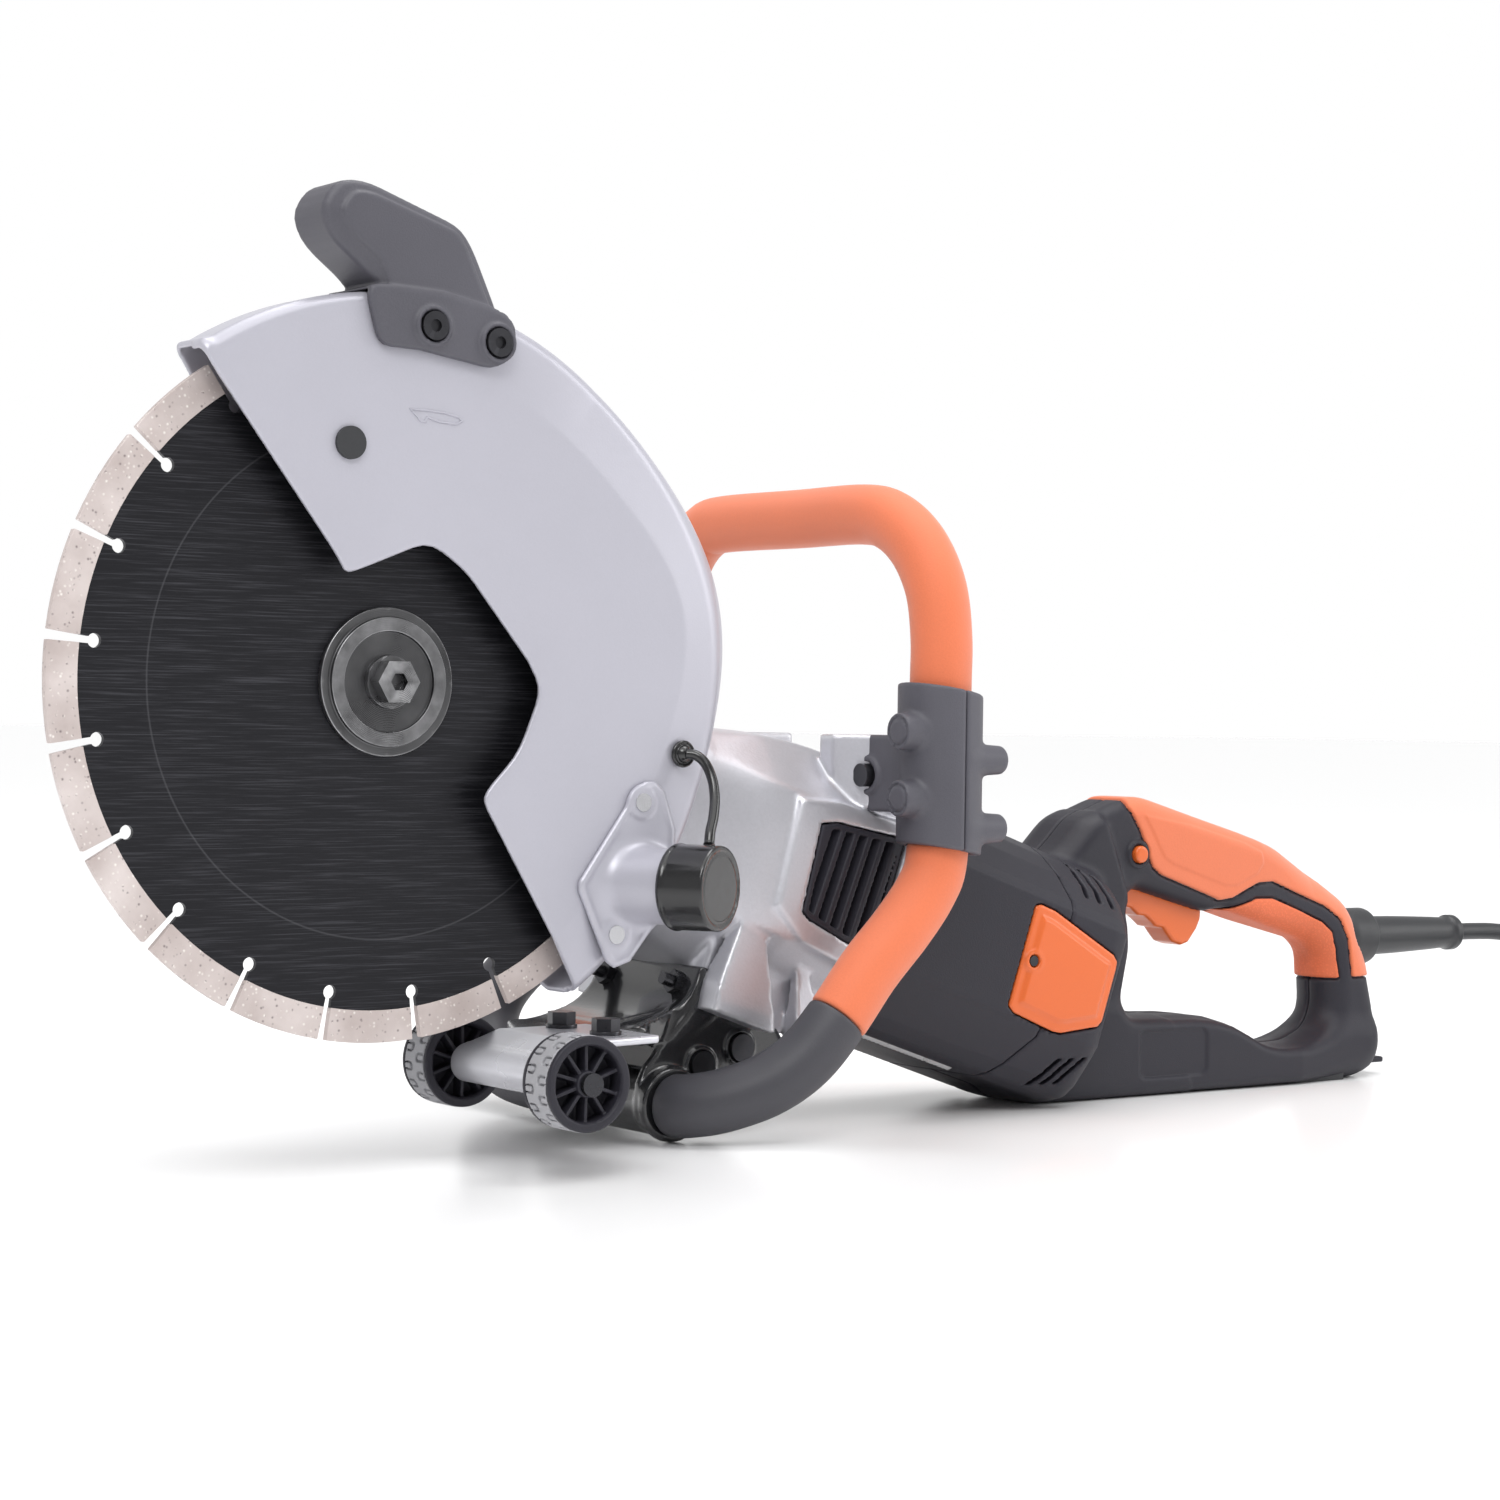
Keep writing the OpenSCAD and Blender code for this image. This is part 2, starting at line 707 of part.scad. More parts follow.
module trigger() color("darkorange") on_plane() difference() {
    slab_y(soft([
        [-479, -88.8], [-495, -88.8], [-503, -100], [-533, -112], [-529, -121], [-521, -129], [-511, -129],
        [-501, -118], [-491, -113.5], [-479, -107]
    ], 3), -8.5, 8.5);
    rod_y(trigger_pivot, -10, 10, 2.5 + running);
}

module lock_button() color("darkorange") on_plane() union() {
    rod_y(lock_at, 8, 23.5, 4.5);
    rod_y(lock_at, 6.5, 8, 5.6);
}

module foot_pad() color("black") on_plane() translate([-639.5, -18.5, -207]) cube([209, 37, 4.4]);

module housing_screws() color("black") {
    on_motor() on_both_sides() {
        rod_y([-400, 0], 54.2, 60, 2.6);
    }
    on_plane() for (a = [45:90:315]) rod_y([44 * cos(a), 44 * sin(a)], head_y[1] + 6, head_y[1] + 9, 3.6);
    on_plane() for (at = [[-460, -178], [-600, -197], [-650, -182]])
        rod_y(at, -bar_half_w - 0.6, -bar_half_w, 3.2);
}

module cable_boot() color("dimgray") on_plane() translate([0, 0, boot_z]) difference() {
    union() {
        rod_x(-665, -640, 10.8);
        rod_x(-670, -648.2, 15.8);
        translate([-670, 0, 0]) rotate([0, -90, 0]) cylinder(r1 = 10.8, r2 = 8.6, h = 70);
        rod_x(-745, -739, 10);
    }
    rod_x(-746, -663, 4.9);
}

// ------------------------------------------------------------ loop handle

loop_low = [
    [-172, -62, -190], [-172, -32, -190], [-176, -21, -189], [-186, -11, -186], [-203, -2, -179],
    [-219, 4, -167.5], [-234, 8, -149.5], [-252, 8, -128], [-271, 8, -109], [-285, 8, -92], [-291, 8, -77],
    [-292, 8, -40], [-292, 8, 3]
];

loop_far_low = [
    [-172, -102, -190], [-172, -132, -190], [-172, -154, -190], [-172, -176, -187.5], [-174, -196, -180],
    [-179, -208, -167], [-190, -212, -149], [-216, -212, -127], [-248, -212, -109], [-279, -212, -93],
    [-291, -212, -77], [-292, -212, -40], [-292, -212, 3]
];

function near_arc(a) = [
    loop_x, loop_near_y - near_bend + near_bend * cos(a), loop_top_z - near_bend + near_bend * sin(a)
];

function far_arc(a) = [
    loop_x, loop_far_y + far_bend + far_bend * cos(a), loop_top_z - far_bend + far_bend * sin(a)
];

loop_control = concat(
    loop_low,
    [for (a = [0:22.5:90]) near_arc(a)],
    [[loop_x, -105, loop_top_z]],
    [for (a = [90:22.5:180]) far_arc(a)],
    reversed(loop_far_low)
);

steps = 2;
loop_path = curve(loop_control, steps);
loop_along = tangents(loop_path);
loop_end = len(loop_control) - 1;

module loop_stretch(from, to) sleeve(
    slice(loop_path, steps * from, steps * to), slice(loop_along, steps * from, steps * to),
    sleeve_d / 2, loop_tube_d / 2 + 0.5
);

module loop_tube() color("gray") place() sweep(loop_path, loop_tube_d / 2, 12, [1, 0, 0]);

module loop_sleeves() color("dimgray") place() {
    loop_stretch(1, 6);
    loop_stretch(loop_end - 7, loop_end - 1);
}

module loop_grips() color("coral") place() {
    loop_stretch(6, 10);
    loop_stretch(12, loop_end - 12);
    loop_stretch(loop_end - 10, loop_end - 7);
}

module clamp_shell(y) translate([loop_x, y, clamp_z[0] + 0.4]) difference() {
    cylinder(r = clamp_r, h = clamp_z[1] - clamp_z[0] - 0.8);
    translate([0, 0, -1]) cylinder(r = loop_tube_d / 2 + 0.2, h = 90);
}

module clamp_half(y, front) difference() {
    clamp_shell(y);
    translate([front ? loop_x - 30.4 : loop_x - 0.4, y - 30, -90]) cube([30.8, 60, 120]);
}

clamp_bolt_at = [[-16.5, -9], [-48.5, -9], [-31, 11], [-63, 11]];

module loop_clamps_front() color("dimgray") place() difference() {
    union() {
        for (y = [loop_near_y, loop_far_y]) {
            clamp_half(y, true);
            for (b = [0, 1]) translate([loop_x + 12, y + clamp_bolt_at[b][1], clamp_bolt_at[b][0]])
                rod_x(0, 16, 7.5);
        }
        translate([-283, -31, -55]) cube([9, 30, 34]);
        translate([-283, loop_far_y + 8, -55]) cube([9, 74, 34]);
    }
    for (y = [loop_near_y, loop_far_y]) translate([loop_x, y, -100]) cylinder(r = clamp_bore_r, h = 120);
}

module loop_clamps_rear() color("dimgray") place() for (y = [loop_near_y, loop_far_y]) {
    clamp_half(y, false);
    for (b = [2, 3]) translate([loop_x - 28, y + clamp_bolt_at[b][1], clamp_bolt_at[b][0]])
        difference() {
            rod_x(0, 14, 7.5);
            rod_x(-1, 2, 5.6);
        }
}

module clamp_bolts() color("black") place() {
    for (y = [-23, -141]) translate([-274, y, -39]) rod_x(0, 5, 5.5);
    for (y = [loop_near_y, loop_far_y]) for (b = [2, 3])
        translate([loop_x - 28, y + clamp_bolt_at[b][1], clamp_bolt_at[b][0]]) rod_x(0, 1.9, 5.5);
}

// ------------------------------------------------------------ front bracket and guide wheels

side_plate = soft([[-192, -142], [-238, -160], [-230, -186], [-196, -204], [-160, -200], [-156, -180]], 5);

shelf = soft([[-196, -122], [-196, -42], [-150, -36], [-138, 14], [-98, 14], [-98, -52], [-134, -112]], 6);

rib_outline = [[-189, -150], [-187, -144], [-130, -157], [-142, -160]];

tab_z = [-84, -60];

stud_at = [[-29, -68], [29, -68]];

side_bolt_at = [[-190, -173], [-212, -166]];

carrier_bolt_at = [[-113, -36], [-113, 0]];

module front_bracket() color("black") {
    difference() {
        union() {
            on_plane() rod_y(socket, -socket_half + 3, socket_half - 3, 15);
            on_plane() on_both_sides() rod_y(socket, socket_half - 5, socket_half, socket_r);
            on_plane() on_both_sides() slab_y(side_plate, 40.4, 44);
            place() translate([0, 0, -160]) linear_extrude(4) polygon(shelf);
            place() for (y = [-60, -45]) slab_y(rib_outline, y, y + 3);
            on_motor() translate([-225.6, -42, tab_z[0]]) cube([3.4, 84, tab_z[1] - tab_z[0]]);
            place() slab_y([[-198, -151], [-194, -149], [-158, -158], [-158, -164]], -122, -40);
        }
        on_plane() rod_y(socket, -socket_half - 1, socket_half + 1, loop_tube_d / 2 + 0.1);
        on_motor() for (at = stud_at) translate([-230, at[0], at[1]]) rod_x(0, 12, 3);
        on_plane() on_both_sides() for (at = side_bolt_at) rod_y(at, 38, 46, 3);
        place() for (at = carrier_bolt_at) translate([at[0], at[1], -165]) cylinder(r = 4, h = 12);
    }
}

module bracket_fasteners() color("black") {
    on_motor() for (at = stud_at) translate([0, at[0], at[1]]) {
        rod_x(-236, -212, 3);
        translate([-222.2, 0, 0]) rotate([0, 90, 0]) cylinder(d = 10 / cos(30), h = 5, $fn = 6);
    }
    on_plane() on_both_sides() for (at = side_bolt_at) {
        rod_y(at, 38, 44, 3);
        rod_y(at, 44, 47.5, 6.5);
    }
    place() for (at = carrier_bolt_at) {
        translate([at[0], at[1], -163]) cylinder(r = 4, h = 12);
        translate([at[0], at[1], -152]) cylinder(r = 7, h = 1.6);
        translate([at[0], at[1], -150.4]) rotate([0, 0, 18]) hex_z([0, 0, 0], 5.6, 11);
    }
}

carrier_outline = [
    [-132, -155.8], [-132, -152], [-84, -152], [-66, -157.5], [-61, -162], [-61, -170], [-66, -174],
    [-75, -174], [-80, -168], [-86, -155.8]
];

carrier_plan = [[-134, -50], [-134, 14], [-100, 18], [-86, 36], [-50, 36], [-50, -50]];

module wheel_carrier() color("black") place() difference() {
    intersection() {
        slab_y(soft(carrier_outline, 2), carrier_y[0], carrier_y[1]);
        translate([0, 0, -180]) linear_extrude(40) polygon(carrier_plan);
    }
    rod_y(axle, carrier_y[0] - 1, carrier_y[1] + 1, axle_r + running);
    for (at = carrier_bolt_at) translate([at[0], at[1], -165]) cylinder(r = 4, h = 20);
}

module wheel_axle() color("silver") place() union() {
    rod_y(axle, wheel_far_y - 3, wheel_near_y + wheel_w + 3, axle_r);
    rod_y(axle, wheel_far_y - 3, wheel_far_y - 0.6, 5);
    rod_y(axle, wheel_near_y + wheel_w + 0.6, wheel_near_y + wheel_w + 3, 5);
}

rim_r = wheel_d / 2 - 3.5;

module wheel_hub(y) color("black") place() {
    ring_y(axle, y, y + wheel_w, 5.5, axle_r + running);
    ring_y(axle, y, y + wheel_w, rim_r, rim_r - 2.2);
    translate([axle[0], 0, axle[1]]) for (i = [0:spoke_count - 1]) rotate([0, 360 * i / spoke_count, 0])
        translate([5, y + 2, -0.8]) cube([rim_r - 6.6, wheel_w - 4, 1.6]);
}

module wheel_hub_near() wheel_hub(wheel_near_y);

module wheel_hub_far() wheel_hub(wheel_far_y);

module tyre(y) color("slategray") place() ring_y(axle, y, y + wheel_w, wheel_d / 2, rim_r);

module tyre_near() tyre(wheel_near_y);

module tyre_far() tyre(wheel_far_y);

// ------------------------------------------------------------ cord and plug

module cord() color("dimgray") place() {
    sweep(curve(cord_route), cord_d / 2, 10);
    sweep(curve(plug_route), cord_d / 2, 10);
}

module cord_coil() color("dimgray") place() translate([coil_at[0], coil_at[1], -arbor_h + coil_bottom])
    rotate_extrude($fn = 64) translate([coil_mid_d / 2 - coil_columns * cord_d / 2, 0])
    square([coil_columns * cord_d, coil_layers * cord_d]);

module cord_tie() color("black") place()
    translate([coil_at[0] - coil_mid_d / 2, coil_at[1], -arbor_h]) difference() {
    translate([-coil_columns * cord_d / 2 - 1.6, -9, 0])
        cube([coil_columns * cord_d + 5, 18, coil_layers * cord_d + 2 * coil_bottom]);
    translate([-coil_columns * cord_d / 2 - 0.3, -10, coil_bottom - 0.3])
        cube([coil_columns * cord_d + 2.4, 20, coil_layers * cord_d + 0.6]);
}

module plug_body() color("black") place() translate([plug_at[0], plug_at[1], -arbor_h]) union() {
    linear_extrude(20) polygon(soft([
        [-26, -18], [-26, 18], [-12, 26], [22, 26], [26, 20], [26, -20], [22, -26], [-12, -26]
    ], 5));
    translate([-40, 0, 10]) rod_x(0, 18, 7);
}

module plug_pins() color("goldenrod") place() translate([plug_at[0], plug_at[1], 20 - arbor_h]) {
    translate([4, -4, 0]) cube([4, 8, 22.7]);
    for (y = [-11.1, 11.1]) translate([-18.4, y - 3.2, 0]) cube([4, 6.4, 17.7]);
}

// ------------------------------------------------------------ nodes

gearbox_housing();
bearing_cover();
bearings();
air_grilles();
motor_housing();
stator_core();
stator_windings();
brush_holders();
carbon_brushes();
brush_covers();
handle_half_left();
handle_half_right();
grip_overmould();
switch_unit();
trigger_pin();
housing_screws();
foot_pad();
loop_tube();
loop_sleeves();
loop_grips();
loop_clamps_front();
loop_clamps_rear();
clamp_bolts();
front_bracket();
bracket_fasteners();
wheel_carrier();
wheel_axle();
cable_boot();
cord();
cord_coil();
cord_tie();
plug_body();
plug_pins();
guard_retainer();
spindle_shaft();
crown_gear();
blade_core();
blade_segments();
flange_inner();
flange_outer();
arbor_bolt();
armature_shaft();
armature_core();
commutator();
cooling_fan();
pinion();
guard_shell();
guard_grip();
grip_screws();
guard_plug();
dust_port();
port_rivets();
cap_tether();
dust_cap();
trigger();
lock_button();
wheel_hub_near();
wheel_hub_far();
tyre_near();
tyre_far();
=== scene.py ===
"""The looks of a corded electric disc cutter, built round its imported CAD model.

Shapes are given in millimetres about the blade's arbor: +X to the front, +Y to the
blade side, +Z up. at() turns such a point into the frame's metres.
"""
import json
import math

import bpy
import numpy as np
from mathutils import Matrix, Vector


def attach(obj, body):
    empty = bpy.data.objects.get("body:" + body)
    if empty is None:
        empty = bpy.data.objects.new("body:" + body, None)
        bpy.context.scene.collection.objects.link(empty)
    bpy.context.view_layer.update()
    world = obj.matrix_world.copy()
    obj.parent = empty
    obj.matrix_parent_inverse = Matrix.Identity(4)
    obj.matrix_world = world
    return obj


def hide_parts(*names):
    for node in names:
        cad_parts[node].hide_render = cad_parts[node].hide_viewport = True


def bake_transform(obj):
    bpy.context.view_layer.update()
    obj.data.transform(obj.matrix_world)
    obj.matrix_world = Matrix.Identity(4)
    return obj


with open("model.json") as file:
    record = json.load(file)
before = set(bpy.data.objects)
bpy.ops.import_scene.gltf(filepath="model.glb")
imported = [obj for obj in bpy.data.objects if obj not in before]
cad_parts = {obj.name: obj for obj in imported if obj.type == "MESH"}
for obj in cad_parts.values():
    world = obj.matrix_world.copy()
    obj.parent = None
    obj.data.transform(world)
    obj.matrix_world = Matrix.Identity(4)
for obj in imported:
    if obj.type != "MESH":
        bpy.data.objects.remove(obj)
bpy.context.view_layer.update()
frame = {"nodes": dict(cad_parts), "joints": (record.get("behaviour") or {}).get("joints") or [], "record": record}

MM = 0.001
JOINTS = {joint["name"]: joint for joint in frame["joints"]}
ARBOR = Vector(JOINTS["spindle_spin"]["pos_m"])
FLOOR = -ARBOR.z / MM
MOTOR_Y = (JOINTS["armature_spin"]["pos_m"][1] - ARBOR.y) / MM
TILT_X, TILT_Z = JOINTS["armature_spin"]["axis"][0], JOINTS["armature_spin"]["axis"][2]


def at(x, y, z):
    """A point given about the arbor in millimetres, in the frame's metres."""
    return ARBOR + Vector((x, y, z)) * MM


# ---------------------------------------------------------------- camera and stage

def make_camera():
    data = bpy.data.cameras.new("camera")
    data.lens = 76.506
    data.sensor_width = 36
    data.clip_end = 50
    camera = bpy.data.objects.new("camera", data)
    right = Vector((-0.81164077, 0.58398507, 0.01416724))
    up = Vector((0.00539578, -0.01675661, 0.99984504))
    back = right.cross(up)
    camera.matrix_world = Matrix((right, up, back)).transposed().to_4x4()
    camera.location = at(650.084, 1165.169, -12.252)
    bpy.context.scene.collection.objects.link(camera)
    bpy.context.scene.camera = camera


def make_light(name, place, target, size, power):
    data = bpy.data.lights.new(name, "AREA")
    data.shape = "RECTANGLE"
    data.size, data.size_y = size
    data.energy = power
    light = bpy.data.objects.new(name, data)
    light.location = Vector(place)
    light.rotation_euler = (Vector(target) - light.location).to_track_quat("-Z", "Y").to_euler()
    bpy.context.scene.collection.objects.link(light)


def make_stage():
    world = bpy.data.worlds.new("studio")
    world.use_nodes = True
    tree = world.node_tree
    direction = tree.nodes.new("ShaderNodeTexCoord").outputs["Generated"]
    shade = None
    for axis, low, high in (((0.58, 0.81, 0.0), -0.2, 0.9), ((0.0, 0.0, 1.0), 0.25, 0.7)):
        dot = tree.nodes.new("ShaderNodeVectorMath")
        dot.operation = "DOT_PRODUCT"
        tree.links.new(direction, dot.inputs[0])
        dot.inputs[1].default_value = axis
        fall = tree.nodes.new("ShaderNodeMapRange")
        fall.interpolation_type = "SMOOTHSTEP"
        fall.inputs["From Min"].default_value = low
        fall.inputs["From Max"].default_value = high
        fall.inputs["To Min"].default_value = 1.0
        fall.inputs["To Max"].default_value = 0.42
        tree.links.new(dot.outputs["Value"], fall.inputs["Value"])
        if shade:
            both = tree.nodes.new("ShaderNodeMath")
            both.operation = "MULTIPLY"
            tree.links.new(shade, both.inputs[0])
            tree.links.new(fall.outputs["Result"], both.inputs[1])
            shade = both.outputs[0]
        else:
            shade = fall.outputs["Result"]
    tree.links.new(shade, tree.nodes["Background"].inputs["Strength"])
    tree.nodes["Background"].inputs["Color"].default_value = (1, 1, 1, 1)
    bpy.context.scene.world = world
    bpy.context.scene.view_settings.view_transform = "Standard"
    mesh = bpy.data.meshes.new("floor")
    mesh.from_pydata([(-30, -30, 0), (30, -30, 0), (30, 30, 0), (-30, 30, 0)], [], [(0, 1, 2, 3)])
    floor = bpy.data.objects.new("floor", mesh)
    bpy.context.scene.collection.objects.link(floor)
    floor.data.materials.append(finish("floor_white", (0.97, 0.97, 0.975), 0.22, mottle=0.0, spread=0.0))
    make_light("key", (1.6, 1.7, 2.2), (0, 0, 0.1), (1.6, 1.2), 34)
    make_light("top", (-0.5, -0.2, 2.4), (0, 0, 0.1), (2.4, 1.0), 26)
    make_light("side", (-2.3, 1.5, 1.1), (-0.1, 0, 0.15), (0.9, 1.6), 16)
    sky = bpy.data.lights.new("sky", "SUN")
    sky.energy = 1.8
    sky.angle = math.radians(75)
    dome = bpy.data.objects.new("sky", sky)
    dome.rotation_euler = (math.radians(-14), math.radians(10), 0)
    bpy.context.scene.collection.objects.link(dome)


# ---------------------------------------------------------------- materials

class Nodes:
    """A material's node tree, with short ways to add to it."""

    def __init__(self, name):
        self.material = bpy.data.materials.new(name)
        self.material.use_nodes = True
        self.tree = self.material.node_tree
        self.shader = self.tree.nodes["Principled BSDF"]
        self.place = self.add("ShaderNodeTexCoord").outputs["Object"]

    def add(self, kind, **inputs):
        node = self.tree.nodes.new(kind)
        for key, value in inputs.items():
            self.put(node.inputs[key], value)
        return node

    def put(self, socket, value):
        if isinstance(value, bpy.types.NodeSocket):
            self.tree.links.new(value, socket)
        else:
            socket.default_value = value

    def math(self, operation, a, b=0.0):
        node = self.add("ShaderNodeMath")
        node.operation = operation
        self.put(node.inputs[0], a)
        self.put(node.inputs[1], b)
        return node.outputs[0]

    def noise(self, scale, detail=3.0, stretch=None, rough=0.5):
        place = self.place
        if stretch:
            mapping = self.add("ShaderNodeMapping", Vector=place, Scale=stretch)
            place = mapping.outputs["Vector"]
        node = self.add("ShaderNodeTexNoise", Vector=place, Scale=scale, Detail=detail, Roughness=rough)
        return node.outputs["Fac"]

    def ramp(self, value, low, high, start=0.0, end=1.0):
        node = self.add("ShaderNodeMapRange")
        for key, number in zip(("From Min", "From Max", "To Min", "To Max"), (low, high, start, end)):
            node.inputs[key].default_value = number
        self.put(node.inputs["Value"], value)
        return node.outputs["Result"]

    def blend(self, factor, a, b):
        node = self.add("ShaderNodeMix")
        node.data_type = "RGBA"
        self.put(node.inputs["Factor"], factor)
        self.put(node.inputs[6], a)
        self.put(node.inputs[7], b)
        return node.outputs[2]

    def bump(self, height, depth, strength=1.0):
        node = self.add("ShaderNodeBump", Height=height, Distance=depth, Strength=strength)
        self.put(self.shader.inputs["Normal"], node.outputs["Normal"])

    def worn(self, amount):
        """More than 0 along convex edges, broken up by noise."""
        pointy = self.add("ShaderNodeNewGeometry").outputs["Pointiness"]
        edge = self.ramp(pointy, 0.51, 0.56)
        return self.math("MULTIPLY", edge, self.math("MULTIPLY", self.noise(180.0), amount))


def rgba(color, gain=1.0):
    return (*[min(1.0, c * gain) for c in color], 1.0)


def finish(name, color, rough, metal=0.0, grain=900.0, depth=0.0, mottle=0.12, specular=0.5,
           coat=0.0, spread=0.08, wear=0.0, stretch=None, sheen=0.0):
    """A material with mottled colour, uneven gloss, a fine grain and worn edges."""
    n = Nodes(name)
    broad = n.noise(14.0, 4.0)
    fine = n.noise(grain, 2.0, stretch)
    tone = n.math("ADD", n.math("MULTIPLY", broad, 0.6), n.math("MULTIPLY", fine, 0.4))
    shade = n.blend(n.ramp(tone, 0.3, 0.7), rgba(color, 1 - mottle), rgba(color, 1 + mottle))
    if wear:
        shade = n.blend(n.worn(wear), shade, rgba(color, 2.2))
    n.put(n.shader.inputs["Base Color"], shade)
    n.put(n.shader.inputs["Roughness"], n.ramp(tone, 0.3, 0.7, rough - spread, rough + spread))
    n.shader.inputs["Metallic"].default_value = metal
    n.shader.inputs["Specular IOR Level"].default_value = specular
    if coat:
        n.shader.inputs["Coat Weight"].default_value = coat
        n.shader.inputs["Coat Roughness"].default_value = 0.08
    if sheen:
        n.shader.inputs["Sheen Weight"].default_value = sheen
    if depth:
        n.bump(fine, depth * MM)
    return n.material


def radius_from_arbor(n):
    """The distance from the spindle's axis, in metres."""
    parts = n.add("ShaderNodeSeparateXYZ", Vector=n.place)
    x = n.math("SUBTRACT", parts.outputs["X"], ARBOR.x)
    z = n.math("SUBTRACT", parts.outputs["Z"], ARBOR.z)
    return n.math("SQRT", n.math("ADD", n.math("MULTIPLY", x, x), n.math("MULTIPLY", z, z)))


def blade_steel():
    """Blackened steel with a straight brushed grain and one turned ring."""
    n = Nodes("blade_steel")
    grain = n.noise(60.0, 5.0, (0.5, 1.0, 26.0), 0.62)
    flecks = n.ramp(grain, 0.5, 0.78)
    radius = radius_from_arbor(n)
    ring = n.ramp(n.math("ABSOLUTE", n.math("SUBTRACT", radius, 107 * MM)), 0.0, 0.6 * MM, 1.0, 0.0)
    shade = n.blend(flecks, (0.010, 0.010, 0.013, 1), (0.055, 0.055, 0.064, 1))
    shade = n.blend(n.math("MULTIPLY", ring, 0.35), shade, (0.11, 0.11, 0.12, 1))
    n.put(n.shader.inputs["Base Color"], shade)
    n.put(n.shader.inputs["Roughness"], n.ramp(grain, 0.35, 0.75, 0.34, 0.56))
    n.shader.inputs["Metallic"].default_value = 0.55
    n.bump(n.math("SUBTRACT", grain, n.math("MULTIPLY", ring, 0.6)), 0.12 * MM)
    return n.material


def sintered_metal():
    """Grit-filled metal of the rim segments: pinkish grey with pale and dark specks."""
    n = Nodes("sintered_metal")
    cells = n.add("ShaderNodeTexVoronoi", Vector=n.place, Scale=420.0)
    speck = n.ramp(cells.outputs["Distance"], 0.0, 0.32, 1.0, 0.0)
    choice = n.noise(260.0, 2.0)
    broad = n.noise(35.0, 4.0)
    shade = n.blend(n.ramp(broad, 0.3, 0.7), (0.47, 0.40, 0.38, 1), (0.68, 0.61, 0.59, 1))
    shade = n.blend(n.math("MULTIPLY", speck, n.ramp(choice, 0.47, 0.56)), shade, (0.88, 0.84, 0.80, 1))
    shade = n.blend(n.math("MULTIPLY", speck, n.ramp(choice, 0.5, 0.44)), shade, (0.16, 0.13, 0.13, 1))
    n.put(n.shader.inputs["Base Color"], shade)
    n.put(n.shader.inputs["Roughness"], n.ramp(choice, 0.3, 0.7, 0.42, 0.66))
    n.shader.inputs["Metallic"].default_value = 0.3
    n.bump(n.math("ADD", speck, choice), 0.15 * MM)
    return n.material


def turned_steel(name):
    """Machined steel with fine turning rings about the spindle."""
    n = Nodes(name)
    rings = n.math("SINE", n.math("MULTIPLY", radius_from_arbor(n), 9000.0))
    broad = n.noise(40.0, 3.0)
    shade = n.blend(n.ramp(broad, 0.3, 0.7), (0.07, 0.07, 0.073, 1), (0.13, 0.13, 0.134, 1))
    shade = n.blend(n.worn(0.8), shade, (0.7, 0.7, 0.72, 1))
    n.put(n.shader.inputs["Base Color"], shade)
    n.put(n.shader.inputs["Roughness"], n.ramp(broad, 0.3, 0.7, 0.24, 0.38))
    n.shader.inputs["Metallic"].default_value = 1.0
    n.bump(rings, 0.02 * MM, 0.5)
    return n.material


def ridged_rubber(name, color):
    """Soft rubber with small raised bumps, with painted shade in the low ground between them."""
    n = Nodes(name)
    cells = n.add("ShaderNodeTexVoronoi", Vector=n.place, Scale=700.0)
    bumps = n.ramp(cells.outputs["Distance"], 0.05, 0.5, 1.0, 0.0)
    broad = n.noise(16.0, 4.0)
    shade = n.blend(n.ramp(broad, 0.3, 0.7), rgba(color, 0.9), rgba(color, 1.1))
    # painted shade: the low ground between the bumps is coloured darker than the bumps
    shade = n.blend(n.ramp(bumps, 0.0, 0.4, 0.16, 0.0), shade, rgba(color, 0.5))
    n.put(n.shader.inputs["Base Color"], shade)
    n.shader.inputs["Roughness"].default_value = 0.62
    n.shader.inputs["Specular IOR Level"].default_value = 0.35
    n.bump(bumps, 0.12 * MM)
    return n.material


